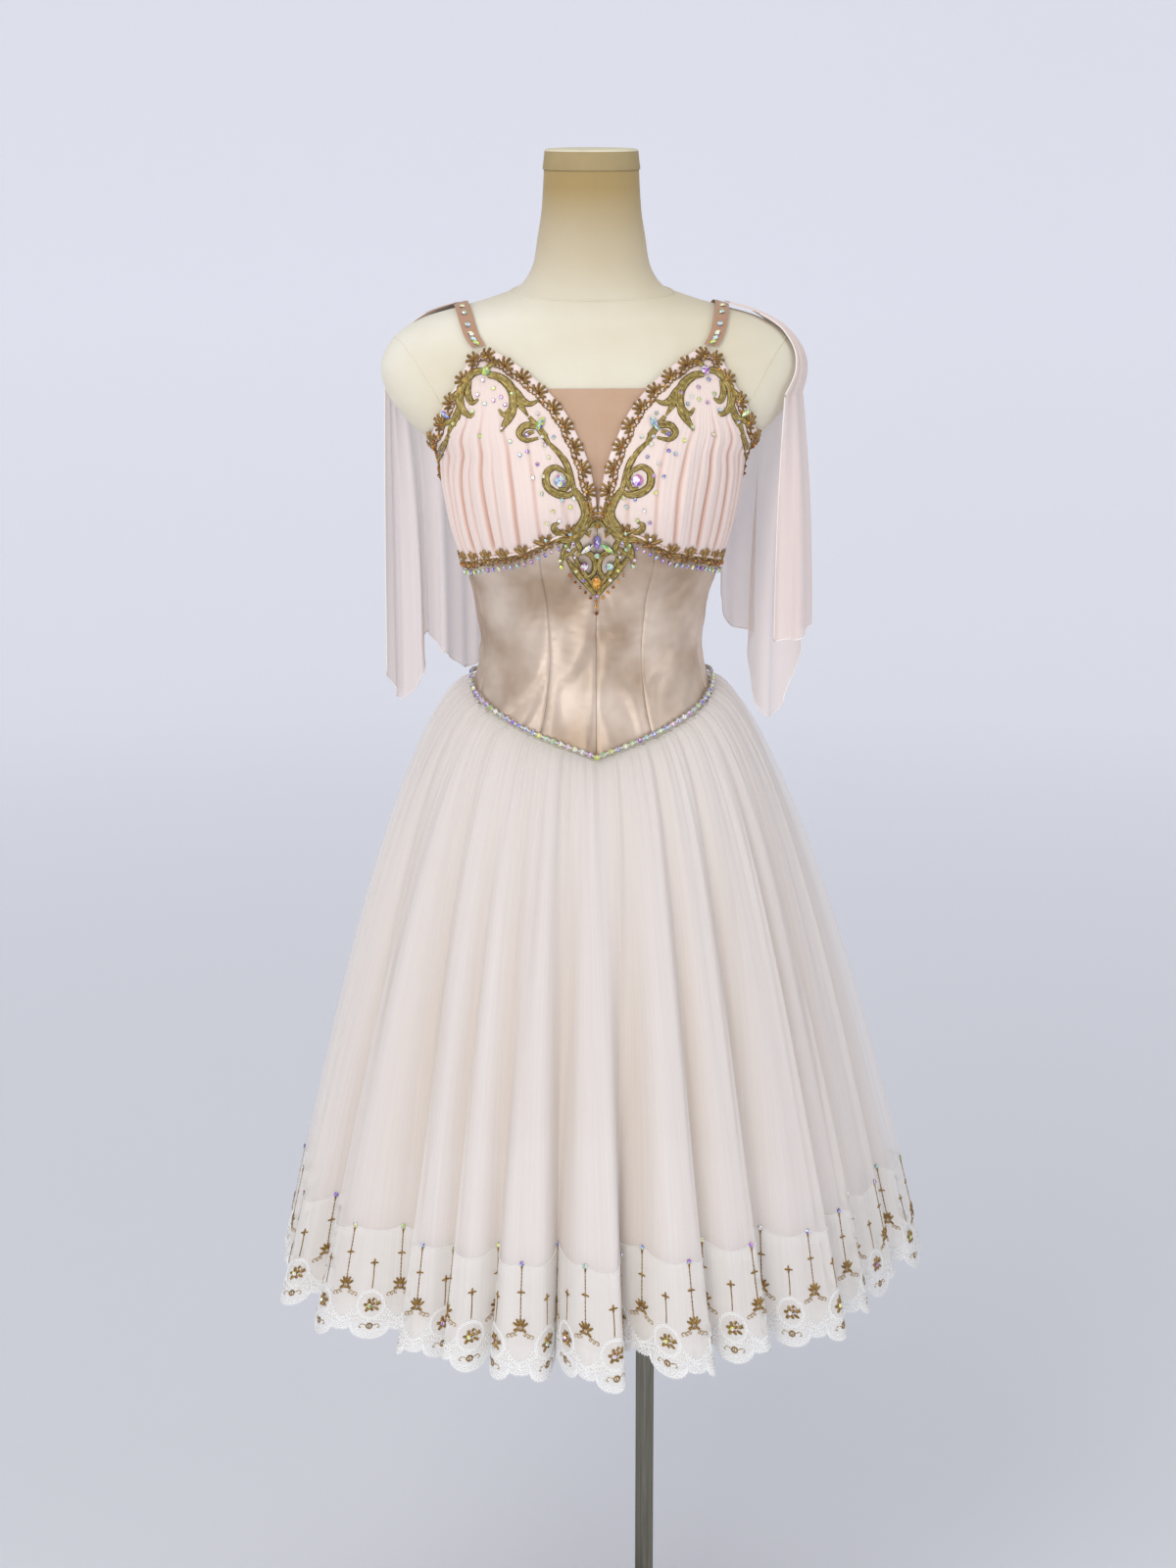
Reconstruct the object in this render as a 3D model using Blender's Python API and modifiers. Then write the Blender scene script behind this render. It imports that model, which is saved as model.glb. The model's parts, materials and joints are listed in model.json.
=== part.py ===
"""Romantic ballet tutu dress on a limbless dress form with a pole stand.

Frame: metres, +Z up. The origin is the centre of the base plate's underside and the dress
faces -Y. Left is -X and right is +X, as seen from the front.

The dress form is one surface, given by level and by angle round the Z axis (0 degrees faces
-Y and 90 degrees faces +X). Every piece of cloth is a sheet of points on that surface, moved
out by its own lift, and thickened outwards.
"""

from collections import namedtuple

import bpy
import numpy as np

# ---------------------------------------------------------------- driving sizes

BASE_RADIUS = 0.170
BASE_THICKNESS = 0.008
COLLAR_HEIGHT = 0.020
COLLAR_RADIUS = 0.032
POLE_SIDE = 0.015
POLE_CORNER = 0.0015
POLE_TURN = 37.0
POLE_X = 0.057
FLANGE_RADIUS = 0.045
FLANGE_THICKNESS = 0.006
SEAM_GAP = 0.0003

FORM_BOTTOM = 0.860
NECK_TOP = 1.6107
CAP_HEIGHT = 0.0200

CLOTH_LIFT = 0.0026
CLOTH_THICKNESS = 0.0015
TRIM_LIFT = 0.0056
TRIM_THICKNESS = 0.0010
TRIM_GAP = 0.0011
MESH_GAP = 0.0010
MEDALLION_LIFT = 0.0077
PIPING_RADIUS = 0.0011
PIPING_GAP = 0.0009
BINDING_WIDTH = 0.006
LACE_WIDTH = 0.011
APPLIQUE_WIDTH = 0.020
CHAIN_WIDTH = 0.005
STRAP_WIDTH = 0.0136
STRAP_THICKNESS = 0.0012
STRAP_LIFT = 0.0032

WAIST_FRONT = 1.0515
WAIST_SIDE = 1.1156
WAIST_BACK = 1.0950
FOLD_COUNT = 26
BORDER_TOP = 0.82
TULLE_THICKNESS = 0.0010

# One row for each level of the dress form: its height, half width, reach to the front and to
# the back of the Z axis, and squareness (2 is an ellipse, more is squarer).
Level = namedtuple("Level", "height half_width front back squareness")
FORM_LEVELS = [
    Level(0.8600, 0.1560, 0.0920, 0.1080, 2.2),
    Level(0.9500, 0.1650, 0.1000, 0.1180, 2.2),
    Level(1.0000, 0.1620, 0.1000, 0.1140, 2.2),
    Level(1.0500, 0.1460, 0.0960, 0.1000, 2.2),
    Level(1.1000, 0.1180, 0.0890, 0.0830, 2.2),
    Level(1.1500, 0.1075, 0.0850, 0.0750, 2.2),
    Level(1.2000, 0.1150, 0.0880, 0.0790, 2.2),
    Level(1.2370, 0.1260, 0.0930, 0.0840, 2.3),
    Level(1.2700, 0.1355, 0.0990, 0.0890, 2.3),
    Level(1.3060, 0.1420, 0.1050, 0.0950, 2.3),
    Level(1.3400, 0.1480, 0.1060, 0.0980, 2.3),
    Level(1.3710, 0.1800, 0.1020, 0.0990, 2.3),
    Level(1.3980, 0.2000, 0.0945, 0.0980, 2.3),
    Level(1.4210, 0.2060, 0.0850, 0.0940, 2.3),
    Level(1.4325, 0.2040, 0.0790, 0.0900, 2.3),
    Level(1.4540, 0.1900, 0.0670, 0.0790, 2.2),
    Level(1.4700, 0.1640, 0.0590, 0.0700, 2.1),
    Level(1.4810, 0.1270, 0.0550, 0.0660, 2.0),
    Level(1.4880, 0.1020, 0.0520, 0.0640, 2.0),
    Level(1.5020, 0.0680, 0.0480, 0.0620, 2.0),
    Level(1.5240, 0.0560, 0.0440, 0.0580, 2.0),
    Level(1.5450, 0.0526, 0.0410, 0.0560, 2.0),
    Level(1.5760, 0.0480, 0.0380, 0.0550, 2.0),
    Level(1.6310, 0.0450, 0.0350, 0.0550, 2.0),
]

BUST_X = 0.070
BUST_HEIGHT = 1.300
BUST_RISE = 0.032
BUST_SPREAD_X = 0.055
BUST_SPREAD_Z = 0.060

# The cup's two upper edges in front view, from the bottom up: x across and height.
Edge = namedtuple("Edge", "x height")
NECKLINE = [
    Edge(0.0010, 1.2900),
    Edge(0.0070, 1.3266),
    Edge(0.0159, 1.3557),
    Edge(0.0295, 1.3846),
    Edge(0.0486, 1.4079),
    Edge(0.0710, 1.4264),
    Edge(0.0944, 1.4403),
    Edge(0.1060, 1.4440),
]
ARMHOLE = [
    Edge(0.1538, 1.3526),
    Edge(0.1514, 1.3708),
    Edge(0.1430, 1.3918),
    Edge(0.1300, 1.4136),
    Edge(0.1135, 1.4400),
]
SIDE_SEAM_ANGLE = 89.0
SIDE_TOP = 1.3180

# The line under the cups and the top edge of the back: angle in degrees and height.
Line = namedtuple("Line", "angle height")
UNDERBUST = [
    Line(0, 1.2860),
    Line(18, 1.2690),
    Line(30, 1.2560),
    Line(48, 1.2470),
    Line(70, 1.2380),
    Line(89, 1.2340),
]
BACK_TOP = [Line(89, 1.3180), Line(110, 1.3020), Line(135, 1.2860), Line(180, 1.2740)]

# The bodice's panels on one side: name, angles of the two seams, and which top edge each has.
Panel = namedtuple("Panel", "name start end top_edge")
BODICE_PANELS = [
    Panel("bodice_centre", 0, 22, UNDERBUST),
    Panel("bodice_side_front", 22, 70, UNDERBUST),
    Panel("bodice_side", 70, 89, UNDERBUST),
    Panel("bodice_side_back", 89, 134, BACK_TOP),
    Panel("bodice_back", 134, 180, BACK_TOP),
]

# The skirt's layers: lift at the waist and drop below the chain, radius and height of the hem,
# depth of the folds, rows (0 waist, 1 hem), and columns for each fold.
Layer = namedtuple("Layer", "name lift drop hem_radius hem_height fold rows columns")
SKIRT_LAYERS = [
    Layer("skirt_over", 0.0068, 0.0018, 0.311, 0.500, 0.0170, (0, 0.05, 0.2, 0.5, BORDER_TOP), 4),
    Layer("skirt_border", 0.0068, 0.0018, 0.311, 0.500, 0.0170, (BORDER_TOP + 0.0008, 1), 4),
    Layer("skirt_middle", 0.0048, 0.0050, 0.297, 0.512, 0.0145, (0, 0.13, 0.5, 1), 2),
    Layer("skirt_under", 0.0028, 0.0085, 0.283, 0.524, 0.0120, (0, 0.13, 0.5, 1), 2),
]

# The strap's path over the shoulder: x across, and angle about the shoulder's line in degrees,
# from the cup in front (negative) over the top (0) and down the back.
Station = namedtuple("Station", "x angle")
STRAP_PATH = [
    Station(0.1110, -53),
    Station(0.1180, -42),
    Station(0.1250, -15),
    Station(0.1265, 5),
    Station(0.1240, 40),
    Station(0.1150, 75),
    Station(0.1050, 105),
    Station(0.0960, 141),
]
SHOULDER_LINE_HEIGHT = 1.400

# Each drape's lengths of cloth, from its front edge to its back edge: the angle where the
# length leaves the shoulder, where it hangs (x across and y), and the height of its end.
Length = namedtuple("Length", "angle x y end")
RIGHT_DRAPE = [
    Length(62, 0.178, -0.052, 1.153),
    Length(70, 0.197, -0.060, 1.160),
    Length(80, 0.214, -0.042, 1.172),
    Length(91, 0.211, -0.010, 1.148),
    Length(99, 0.194, 0.008, 1.088),
    Length(107, 0.178, -0.004, 1.069),
    Length(115, 0.160, 0.020, 1.105),
    Length(123, 0.167, 0.048, 1.150),
    Length(131, 0.147, 0.066, 1.148),
    Length(141, 0.134, 0.060, 1.185),
]
LEFT_DRAPE = [
    Length(103, 0.205, 0.036, 1.110),
    Length(110, 0.193, 0.060, 1.083),
    Length(117, 0.172, 0.048, 1.100),
    Length(125, 0.163, 0.072, 1.150),
    Length(133, 0.148, 0.064, 1.125),
    Length(141, 0.132, 0.082, 1.113),
    Length(149, 0.117, 0.098, 1.106),
    Length(157, 0.100, 0.108, 1.112),
]
DRAPE_LIFT = 0.0070
DRAPE_THICKNESS = 0.0010
DRAPE_TOP = 1.4790
DRAPE_LEAVES = 1.4000
DRAPE_REACH = (0.0, 0.15, 0.3, 0.45, 0.6, 0.8)
DRAPE_FALL = (0.0, 0.15, 0.35, 0.6, 0.8, 1.0)

# Where each drape is gathered on the strap's top: the middle angle and the spread in degrees.
Gather = namedtuple("Gather", "angle spread")
RIGHT_GATHER = Gather(91, 26)
LEFT_GATHER = Gather(104, 26)


# ---------------------------------------------------------------- the form's surface


def eased(keys, values, at):
    """The values at places between the keys, on a smooth curve that never overshoots them."""
    keys, values, at = (np.asarray(item, float) for item in (keys, values, at))
    steps = np.diff(keys)
    slopes = np.diff(values) / steps
    tangents = np.concatenate([slopes[:1], np.zeros(len(keys) - 2), slopes[-1:]])
    before, after = slopes[:-1], slopes[1:]
    same = before * after > 0
    tangents[1:-1][same] = (2 * before * after)[same] / (before + after)[same]
    index = np.clip(np.searchsorted(keys, at, side="right") - 1, 0, len(steps) - 1)
    step = steps[index]
    t = np.clip((at - keys[index]) / step, 0, 1)
    start = (1 + 2 * t) * (1 - t) ** 2 * values[index] + t * (1 - t) ** 2 * step * tangents[index]
    end = t * t * (3 - 2 * t) * values[index + 1] + t * t * (t - 1) * step * tangents[index + 1]
    return start + end


def of_table(rows, key, value, at):
    return eased([getattr(row, key) for row in rows], [getattr(row, value) for row in rows], at)


def bust(x, height):
    """How far the bust comes forward of the plain section."""
    across = ((np.abs(x) - BUST_X) / BUST_SPREAD_X) ** 2
    up = ((height - BUST_HEIGHT) / BUST_SPREAD_Z) ** 2
    return BUST_RISE * np.exp(-0.9 * (across + up))


def form_point(angle, height):
    """A point of the form's surface at an angle in degrees and a height."""
    sine, cosine = np.sin(np.radians(angle)), np.cos(np.radians(angle))
    power = 2 / of_table(FORM_LEVELS, "height", "squareness", height)
    x = of_table(FORM_LEVELS, "height", "half_width", height) * np.sign(sine) * np.abs(sine) ** power
    front = of_table(FORM_LEVELS, "height", "front", height) + bust(x, height)
    back = of_table(FORM_LEVELS, "height", "back", height)
    y = np.where(cosine > 0, -front, back) * np.abs(cosine) ** power
    return np.stack(np.broadcast_arrays(x, y, height), axis=-1)


def lifted(angle, height, lift):
    """A point at a distance out from the form's surface."""
    angle, height = np.broadcast_arrays(np.asarray(angle, float), np.asarray(height, float))
    round_step, up_step = 1.0, 0.002
    along = form_point(angle + round_step, height) - form_point(angle - round_step, height)
    up = form_point(angle, height + up_step) - form_point(angle, height - up_step)
    normal = np.cross(along, up)
    normal /= np.linalg.norm(normal, axis=-1, keepdims=True)
    return form_point(angle, height) + normal * np.asarray(lift)[..., None]


def angle_at(x, height, behind=False):
    """The angle in degrees at which the form's surface is x across."""
    half_width = of_table(FORM_LEVELS, "height", "half_width", height)
    squareness = of_table(FORM_LEVELS, "height", "squareness", height)
    share = np.clip(np.abs(x) / half_width, 0, 1) ** (squareness / 2)
    angle = np.degrees(np.arcsin(share))
    return 180 - angle if behind else angle


def shares_at(points):
    """How far points lie across and to the front or back, as shares whose sum is 1 on the form."""
    x, y, height = np.moveaxis(np.asarray(points, float), -1, 0)
    squareness = of_table(FORM_LEVELS, "height", "squareness", height)
    front = of_table(FORM_LEVELS, "height", "front", height) + bust(x, height)
    back = of_table(FORM_LEVELS, "height", "back", height)
    across = np.abs(x) / of_table(FORM_LEVELS, "height", "half_width", height)
    deep = np.abs(y) / np.where(y < 0, front, back)
    return across**squareness, deep**squareness


def onto_form(points, lift):
    """Points on the +X half, brought level to the form's surface and lifted off it."""
    across, deep = shares_at(points)
    angle = np.degrees(np.arctan2(np.sqrt(across), np.sqrt(deep) * -np.sign(points[..., 1])))
    return lifted(angle, points[..., 2], lift)


def surface_along(start, direction, reach=0.3):
    """Where a line from a point inside the form leaves it, by halving."""
    start, direction = np.asarray(start, float), np.asarray(direction, float)
    near, far = 0.0, reach
    for _ in range(40):
        middle = (near + far) / 2
        if sum(shares_at(start + middle * direction)) < 1:
            near = middle
        else:
            far = middle
    return start + near * direction


# ---------------------------------------------------------------- making solids


def material(name, colour, roughness, metallic=0.0):
    made = bpy.data.materials.get(name)
    if made:
        return made
    made = bpy.data.materials.new(name)
    made.use_nodes = True
    shader = made.node_tree.nodes["Principled BSDF"]
    shader.inputs["Base Color"].default_value = (*colour, 1)
    shader.inputs["Roughness"].default_value = roughness
    shader.inputs["Metallic"].default_value = metallic
    made.diffuse_color = (*colour, 1)
    return made


def canvas():
    return material("canvas", (0.78, 0.74, 0.62), 0.8)


def cap_tan():
    return material("cap_tan", (0.50, 0.42, 0.26), 0.7)


def steel():
    return material("steel", (0.30, 0.29, 0.25), 0.4, 1.0)


def satin():
    return material("satin", (0.62, 0.50, 0.42), 0.35)


def chiffon():
    return material("chiffon", (0.86, 0.74, 0.70), 0.6)


def nude_mesh():
    return material("nude_mesh", (0.56, 0.35, 0.23), 0.8)


def strap_elastic():
    return material("strap_elastic", (0.46, 0.28, 0.20), 0.7)


def pink_satin():
    return material("pink_satin", (0.82, 0.66, 0.62), 0.4)


def gold_lace():
    return material("gold_lace", (0.28, 0.21, 0.07), 0.5, 0.4)


def tulle():
    return material("tulle", (0.84, 0.79, 0.75), 0.8)


def organza():
    return material("organza", (0.86, 0.84, 0.80), 0.7)


def crystal():
    return material("crystal", (0.70, 0.72, 0.70), 0.1, 0.6)


def link(name, mesh, look):
    for face in mesh.polygons:
        face.use_smooth = True
    mesh.materials.append(look)
    solid = bpy.data.objects.new(name, mesh)
    bpy.data.collections["ballet_tutu"].objects.link(solid)
    return solid


def grid_faces(rows, columns, closed):
    """Quads of a grid numbered row by row; a closed grid joins its last column to its first."""
    last = columns if closed else columns - 1
    return [
        (
            row * columns + column,
            row * columns + (column + 1) % columns,
            (row + 1) * columns + (column + 1) % columns,
            (row + 1) * columns + column,
        )
        for row in range(rows - 1)
        for column in range(last)
    ]


def sheet(name, grid, thickness, look, closed=False):
    """A wall of cloth on a grid of points: rows go up and columns go round towards +X."""
    rows, columns = grid.shape[:2]
    mesh = bpy.data.meshes.new(name)
    mesh.from_pydata(grid.reshape(-1, 3).tolist(), [], grid_faces(rows, columns, closed))
    solid = link(name, mesh, look)
    wall = solid.modifiers.new("wall", "SOLIDIFY")
    wall.thickness = thickness
    wall.offset = 1
    return solid


def turned(name, rings, look):
    """A closed solid through level rings of points, from the bottom up."""
    rows, columns = rings.shape[:2]
    faces = grid_faces(rows, columns, True)
    faces.append(tuple(range(columns))[::-1])
    faces.append(tuple(range((rows - 1) * columns, rows * columns)))
    mesh = bpy.data.meshes.new(name)
    mesh.from_pydata(rings.reshape(-1, 3).tolist(), [], faces)
    solid = link(name, mesh, look)
    mesh.set_sharp_from_angle(angle=np.radians(50))
    return solid


def mirrored(grid):
    """The left one of a pair, from the right one."""
    return grid[:, ::-1] * (-1, 1, 1)


def pair(name, grid, thickness, look):
    sheet(f"{name}_right", grid, thickness, look)
    sheet(f"{name}_left", mirrored(grid), thickness, look)


def round_bar(name, radius, height, x, bottom, look):
    bpy.ops.mesh.primitive_cylinder_add(
        vertices=32, radius=radius, depth=height, location=(x, 0, bottom + height / 2)
    )
    return finished(name, look, 0.0015)


def finished(name, look, bevel_width):
    """Takes the primitive just added into the collection, with its edges rounded."""
    solid = bpy.context.object
    solid.name = name
    solid.data.materials.append(look)
    for owner in list(solid.users_collection):
        owner.objects.unlink(solid)
    bpy.data.collections["ballet_tutu"].objects.link(solid)
    bevel = solid.modifiers.new("rounded", "BEVEL")
    bevel.width = bevel_width
    bevel.segments = 1
    bevel.limit_method = "ANGLE"
    return solid


# ---------------------------------------------------------------- stand and form


def build_stand():
    round_bar("base_plate", BASE_RADIUS, BASE_THICKNESS, 0, 0, steel())
    collar_bottom = BASE_THICKNESS + SEAM_GAP
    round_bar("pole_collar", COLLAR_RADIUS, COLLAR_HEIGHT, POLE_X, collar_bottom, steel())
    flange_bottom = FORM_BOTTOM - SEAM_GAP - FLANGE_THICKNESS
    round_bar("pole_flange", FLANGE_RADIUS, FLANGE_THICKNESS, POLE_X, flange_bottom, steel())
    bottom = collar_bottom + COLLAR_HEIGHT + SEAM_GAP
    top = flange_bottom - SEAM_GAP
    bpy.ops.mesh.primitive_cube_add(size=1, location=(POLE_X, 0, (bottom + top) / 2))
    bpy.context.object.scale = (POLE_SIDE, POLE_SIDE, top - bottom)
    bpy.context.object.rotation_euler = (0, 0, np.radians(POLE_TURN))
    bpy.ops.object.transform_apply(location=False, rotation=True, scale=True)
    finished("pole", steel(), POLE_CORNER)


def build_form():
    """The canvas torso with its neck, and the tan band with a pale top that closes the neck."""
    body = np.linspace(FORM_BOTTOM, 1.34, 14)
    shoulder = [1.356, 1.371, 1.385, 1.398, 1.410, 1.421, 1.4325, 1.444, 1.454, 1.463, 1.470]
    neck = [1.476, 1.481, 1.4848, 1.488, 1.494, 1.502, 1.512, 1.527, 1.56, NECK_TOP]
    heights = np.concatenate([body, shoulder, neck])
    angles = np.arange(30) * 360 / 30
    turned("form_torso", form_point(angles[None, :], heights[:, None]), canvas())
    levels = NECK_TOP + SEAM_GAP + CAP_HEIGHT * np.array([0, 0, 0.9, 1.0])
    cap = form_point(angles[None, :], levels[:, None])
    swell = np.array([0.97, 1.03, 1.01, 0.96])[:, None, None]
    middle = cap.mean(axis=1, keepdims=True)
    cap = middle + (cap - middle) * swell
    cap[1, :, 2] += 0.0006
    turned("form_neck_cap", cap, cap_tan())


# ---------------------------------------------------------------- bodice


def waist_height(angle):
    """The pointed line where the bodice ends and the skirt starts."""
    share = np.abs((np.asarray(angle, float) + 180) % 360 - 180) / 90
    front = WAIST_FRONT + (WAIST_SIDE - WAIST_FRONT) * np.minimum(share, 1) ** 0.82
    turn = np.clip(share - 1, 0, 1)
    behind = WAIST_SIDE - (WAIST_SIDE - WAIST_BACK) * (1 - np.cos(np.pi * turn)) / 2
    return np.where(share < 1, front, behind)


def build_bodice():
    seam_angle = 0.12
    for panel in BODICE_PANELS:
        count = max(3, round((panel.end - panel.start) / 9) + 1)
        angles = np.linspace(panel.start + seam_angle, panel.end - seam_angle, count)
        low = waist_height(angles) - CHAIN_WIDTH / 2
        high = of_table(panel.top_edge, "angle", "height", angles)
        share = np.linspace(0, 1, 9 if panel.top_edge is BACK_TOP else 7)[:, None]
        grid = lifted(angles[None, :], low + (high - low) * share, CLOTH_LIFT)
        pair(panel.name, grid, CLOTH_THICKNESS, satin())


def edge_path(rows, count, start=0.0, end=1.0):
    """Points along an edge, evenly spaced: angle and height."""
    angles = np.array([row[0] for row in rows])
    heights = np.array([row[1] for row in rows])
    points = form_point(angles, heights)
    length = np.concatenate([[0], np.cumsum(np.linalg.norm(np.diff(points, axis=0), axis=1))])
    at = np.linspace(start, end, count) * length[-1]
    return np.stack([eased(length, angles, at), eased(length, heights, at)], axis=-1)


def neckline_rows():
    return [(angle_at(edge.x, edge.height), edge.height) for edge in NECKLINE]


def armhole_rows():
    """The edge from the side seam up to the strap."""
    upper = [(angle_at(edge.x, edge.height), edge.height) for edge in ARMHOLE]
    return [(SIDE_SEAM_ANGLE, SIDE_TOP), *upper]


def build_cups():
    """Each cup is a patch between the neckline, the armhole with the side seam, and the line
    under the bust."""
    columns, rows = 10, 13
    lower_gap = 2 * PIPING_RADIUS + 2 * PIPING_GAP
    inner = edge_path(neckline_rows(), rows)
    side = [(SIDE_SEAM_ANGLE, of_table(UNDERBUST, "angle", "height", SIDE_SEAM_ANGLE) + lower_gap)]
    outer = edge_path(side + armhole_rows(), rows)
    share = np.linspace(0, 1, columns)[None, :, None]
    bottom_angle = np.linspace(inner[0, 0], outer[0, 0], columns)
    bottom = np.stack(
        [bottom_angle, of_table(UNDERBUST, "angle", "height", bottom_angle) + lower_gap], axis=-1
    )
    straight = inner[0] + (outer[0] - inner[0]) * share[0]
    fade = np.linspace(1, 0, rows)[:, None, None]
    patch = inner[:, None] + (outer - inner)[:, None] * share + fade * (bottom - straight)[None]
    grid = lifted(patch[..., 0], patch[..., 1], CLOTH_LIFT)
    pair("cup", grid, CLOTH_THICKNESS, chiffon())


def build_mesh_insert():
    """The nude mesh that fills the V between the cups."""
    top = 1.4090
    heights = np.linspace(NECKLINE[0].height + 0.012, top, 8)
    reach = of_table(NECKLINE, "height", "x", heights) - MESH_GAP
    share = np.linspace(-1, 1, 7)
    x = reach[:, None] * share[None, :]
    levels = np.broadcast_to(heights[:, None], x.shape)
    angles = angle_at(x, levels) * np.sign(x)
    sheet("mesh_insert", lifted(angles, levels, CLOTH_LIFT), CLOTH_THICKNESS, nude_mesh())


def ribbon(path, near, far, lift):
    """Two rows of points beside a path on the form: near and far are the distances to its left,
    looking from outside along the path."""
    points = lifted(path[:, 0], path[:, 1], 0.0)
    normal = lifted(path[:, 0], path[:, 1], 1.0) - points
    left = np.cross(normal, np.gradient(points, axis=0))
    left /= np.linalg.norm(left, axis=1, keepdims=True)
    return np.stack([onto_form(points + left * distance, lift) for distance in (near, far)])


def build_edgings():
    """Satin bindings, gold lace and appliques, laid on the cups and the bodice's top edges."""
    neckline = edge_path(neckline_rows(), 13, 0.03, 0.90)
    armhole = edge_path(armhole_rows()[::-1], 10, 0.06, 1.0)
    around_back = edge_path(BACK_TOP, 11, 0.0, 0.995)
    arm_and_back = np.concatenate([armhole[:-1], around_back])
    inset = 0.0004

    def lay(name, path, near, far, look, lift=TRIM_LIFT):
        grid = ribbon(path, near, far, lift)
        pair(name, grid, TRIM_THICKNESS, look)

    lay("neckline_binding", neckline[::-1], inset, inset + BINDING_WIDTH, pink_satin())
    lay("armhole_binding", arm_and_back, -inset - BINDING_WIDTH, -inset, pink_satin())
    lace_near = inset + BINDING_WIDTH + TRIM_GAP
    lace_far = lace_near + LACE_WIDTH
    lace_path = edge_path(neckline_rows(), 11, 0.05, 0.80)[::-1]
    lay("neckline_lace", lace_path, lace_near, lace_far, gold_lace())
    arm_lace_path = edge_path(armhole_rows()[::-1], 12, 0.14, 0.99)
    lay("armhole_lace", arm_lace_path, -lace_far, -lace_near, gold_lace())
    leaf_near = lace_far + TRIM_GAP
    leaf_far = leaf_near + APPLIQUE_WIDTH
    scroll_path = edge_path(neckline_rows(), 8, 0.20, 0.62)[::-1]
    lay("cup_scroll", scroll_path, leaf_near, leaf_far, gold_lace())
    leaf_path = edge_path(armhole_rows()[::-1], 5, 0.34, 0.62)
    lay("cup_leaf", leaf_path, -leaf_far, -leaf_near, gold_lace())
    under = edge_path(UNDERBUST, 12, 0.30, 0.995)
    lay("underbust_lace", under, -0.0008 - LACE_WIDTH, -0.0008, gold_lace())


def build_piping():
    """The cord between each cup and the bodice."""
    path = edge_path(UNDERBUST, 16, 0.06, 0.99)
    middle = PIPING_RADIUS + PIPING_GAP
    lift = CLOTH_LIFT + CLOTH_THICKNESS / 2
    points = lifted(path[:, 0], path[:, 1] + middle, lift)
    for side, sign in (("right", 1), ("left", -1)):
        curve = bpy.data.curves.new(f"underbust_piping_{side}", "CURVE")
        curve.dimensions = "3D"
        curve.bevel_depth = PIPING_RADIUS
        curve.bevel_resolution = 1
        curve.use_fill_caps = True
        spline = curve.splines.new("POLY")
        spline.points.add(len(points) - 1)
        for target, point in zip(spline.points, points):
            target.co = (sign * point[0], point[1], point[2], 1)
        solid = bpy.data.objects.new(curve.name, curve)
        curve.materials.append(pink_satin())
        bpy.data.collections["ballet_tutu"].objects.link(solid)


def build_medallion():
    """The diamond of gold lace over the meeting of the cups and the bodice."""
    Width = namedtuple("Width", "height half_width")
    outline = [
        Width(1.2050, 0.0020),
        Width(1.2180, 0.0160),
        Width(1.2330, 0.0310),
        Width(1.2480, 0.0370),
        Width(1.2640, 0.0270),
        Width(1.2800, 0.0140),
        Width(1.2960, 0.0050),
    ]
    heights = np.linspace(outline[0].height, outline[-1].height, 9)
    reach = of_table(outline, "height", "half_width", heights)
    x = reach[:, None] * np.linspace(-1, 1, 7)[None, :]
    levels = np.broadcast_to(heights[:, None], x.shape)
    angles = angle_at(x, levels) * np.sign(x)
    sheet("centre_medallion", lifted(angles, levels, MEDALLION_LIFT), TRIM_THICKNESS, gold_lace())


def build_waist_chain():
    """The band of stones on the waist line, all round."""
    angles = np.linspace(-180, 180, 49)[:-1]
    levels = waist_height(angles)[None, :] + CHAIN_WIDTH * np.array([-0.5, 0.5])[:, None]
    grid = lifted(angles[None, :], levels, TRIM_LIFT)
    sheet("waist_chain", grid, TRIM_THICKNESS, crystal(), closed=True)


def build_straps():
    count = 13
    at = np.linspace(0, 1, count)
    keys = np.linspace(0, 1, len(STRAP_PATH))
    across = eased(keys, [station.x for station in STRAP_PATH], at)
    turn = np.radians(eased(keys, [station.angle for station in STRAP_PATH], at))
    rows = []
    for x, angle in zip(across, turn):
        direction = np.array([0, np.sin(angle), np.cos(angle)])
        ends = [
            surface_along((x + shift, 0, SHOULDER_LINE_HEIGHT), direction)
            for shift in (-STRAP_WIDTH / 2, STRAP_WIDTH / 2)
        ]
        rows.append(ends)
    pair("strap", onto_form(np.array(rows), STRAP_LIFT), STRAP_THICKNESS, strap_elastic())


# ---------------------------------------------------------------- skirt


def fold_phase(angle):
    """The phase of the skirt's folds at an angle, in radians: the folds are of uneven width."""
    turn = np.radians(angle)
    wide = 0.9 * (np.sin(3 * turn + 0.5) - np.sin(0.5))
    narrow = 0.7 * (np.sin(5 * turn + 2.0) - np.sin(2.0))
    return FOLD_COUNT * turn + wide + narrow


def fold_depth(angle):
    """The folds' own depth as a share of the layer's, uneven round the hem."""
    turn = np.radians(angle)
    return 1 + 0.25 * np.sin(4 * turn + 1.1) + 0.18 * np.sin(9 * turn + 0.3)


def fold_columns(per_fold):
    """Angles in degrees at the crests and troughs of the folds, and between them."""
    dense = np.linspace(-180, 180, 7201)
    phase = fold_phase(dense)
    step = 2 * np.pi / per_fold
    marks = np.ceil(phase[0] / step) * step + step * np.arange(FOLD_COUNT * per_fold)
    return np.interp(marks, phase, dense)


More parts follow.
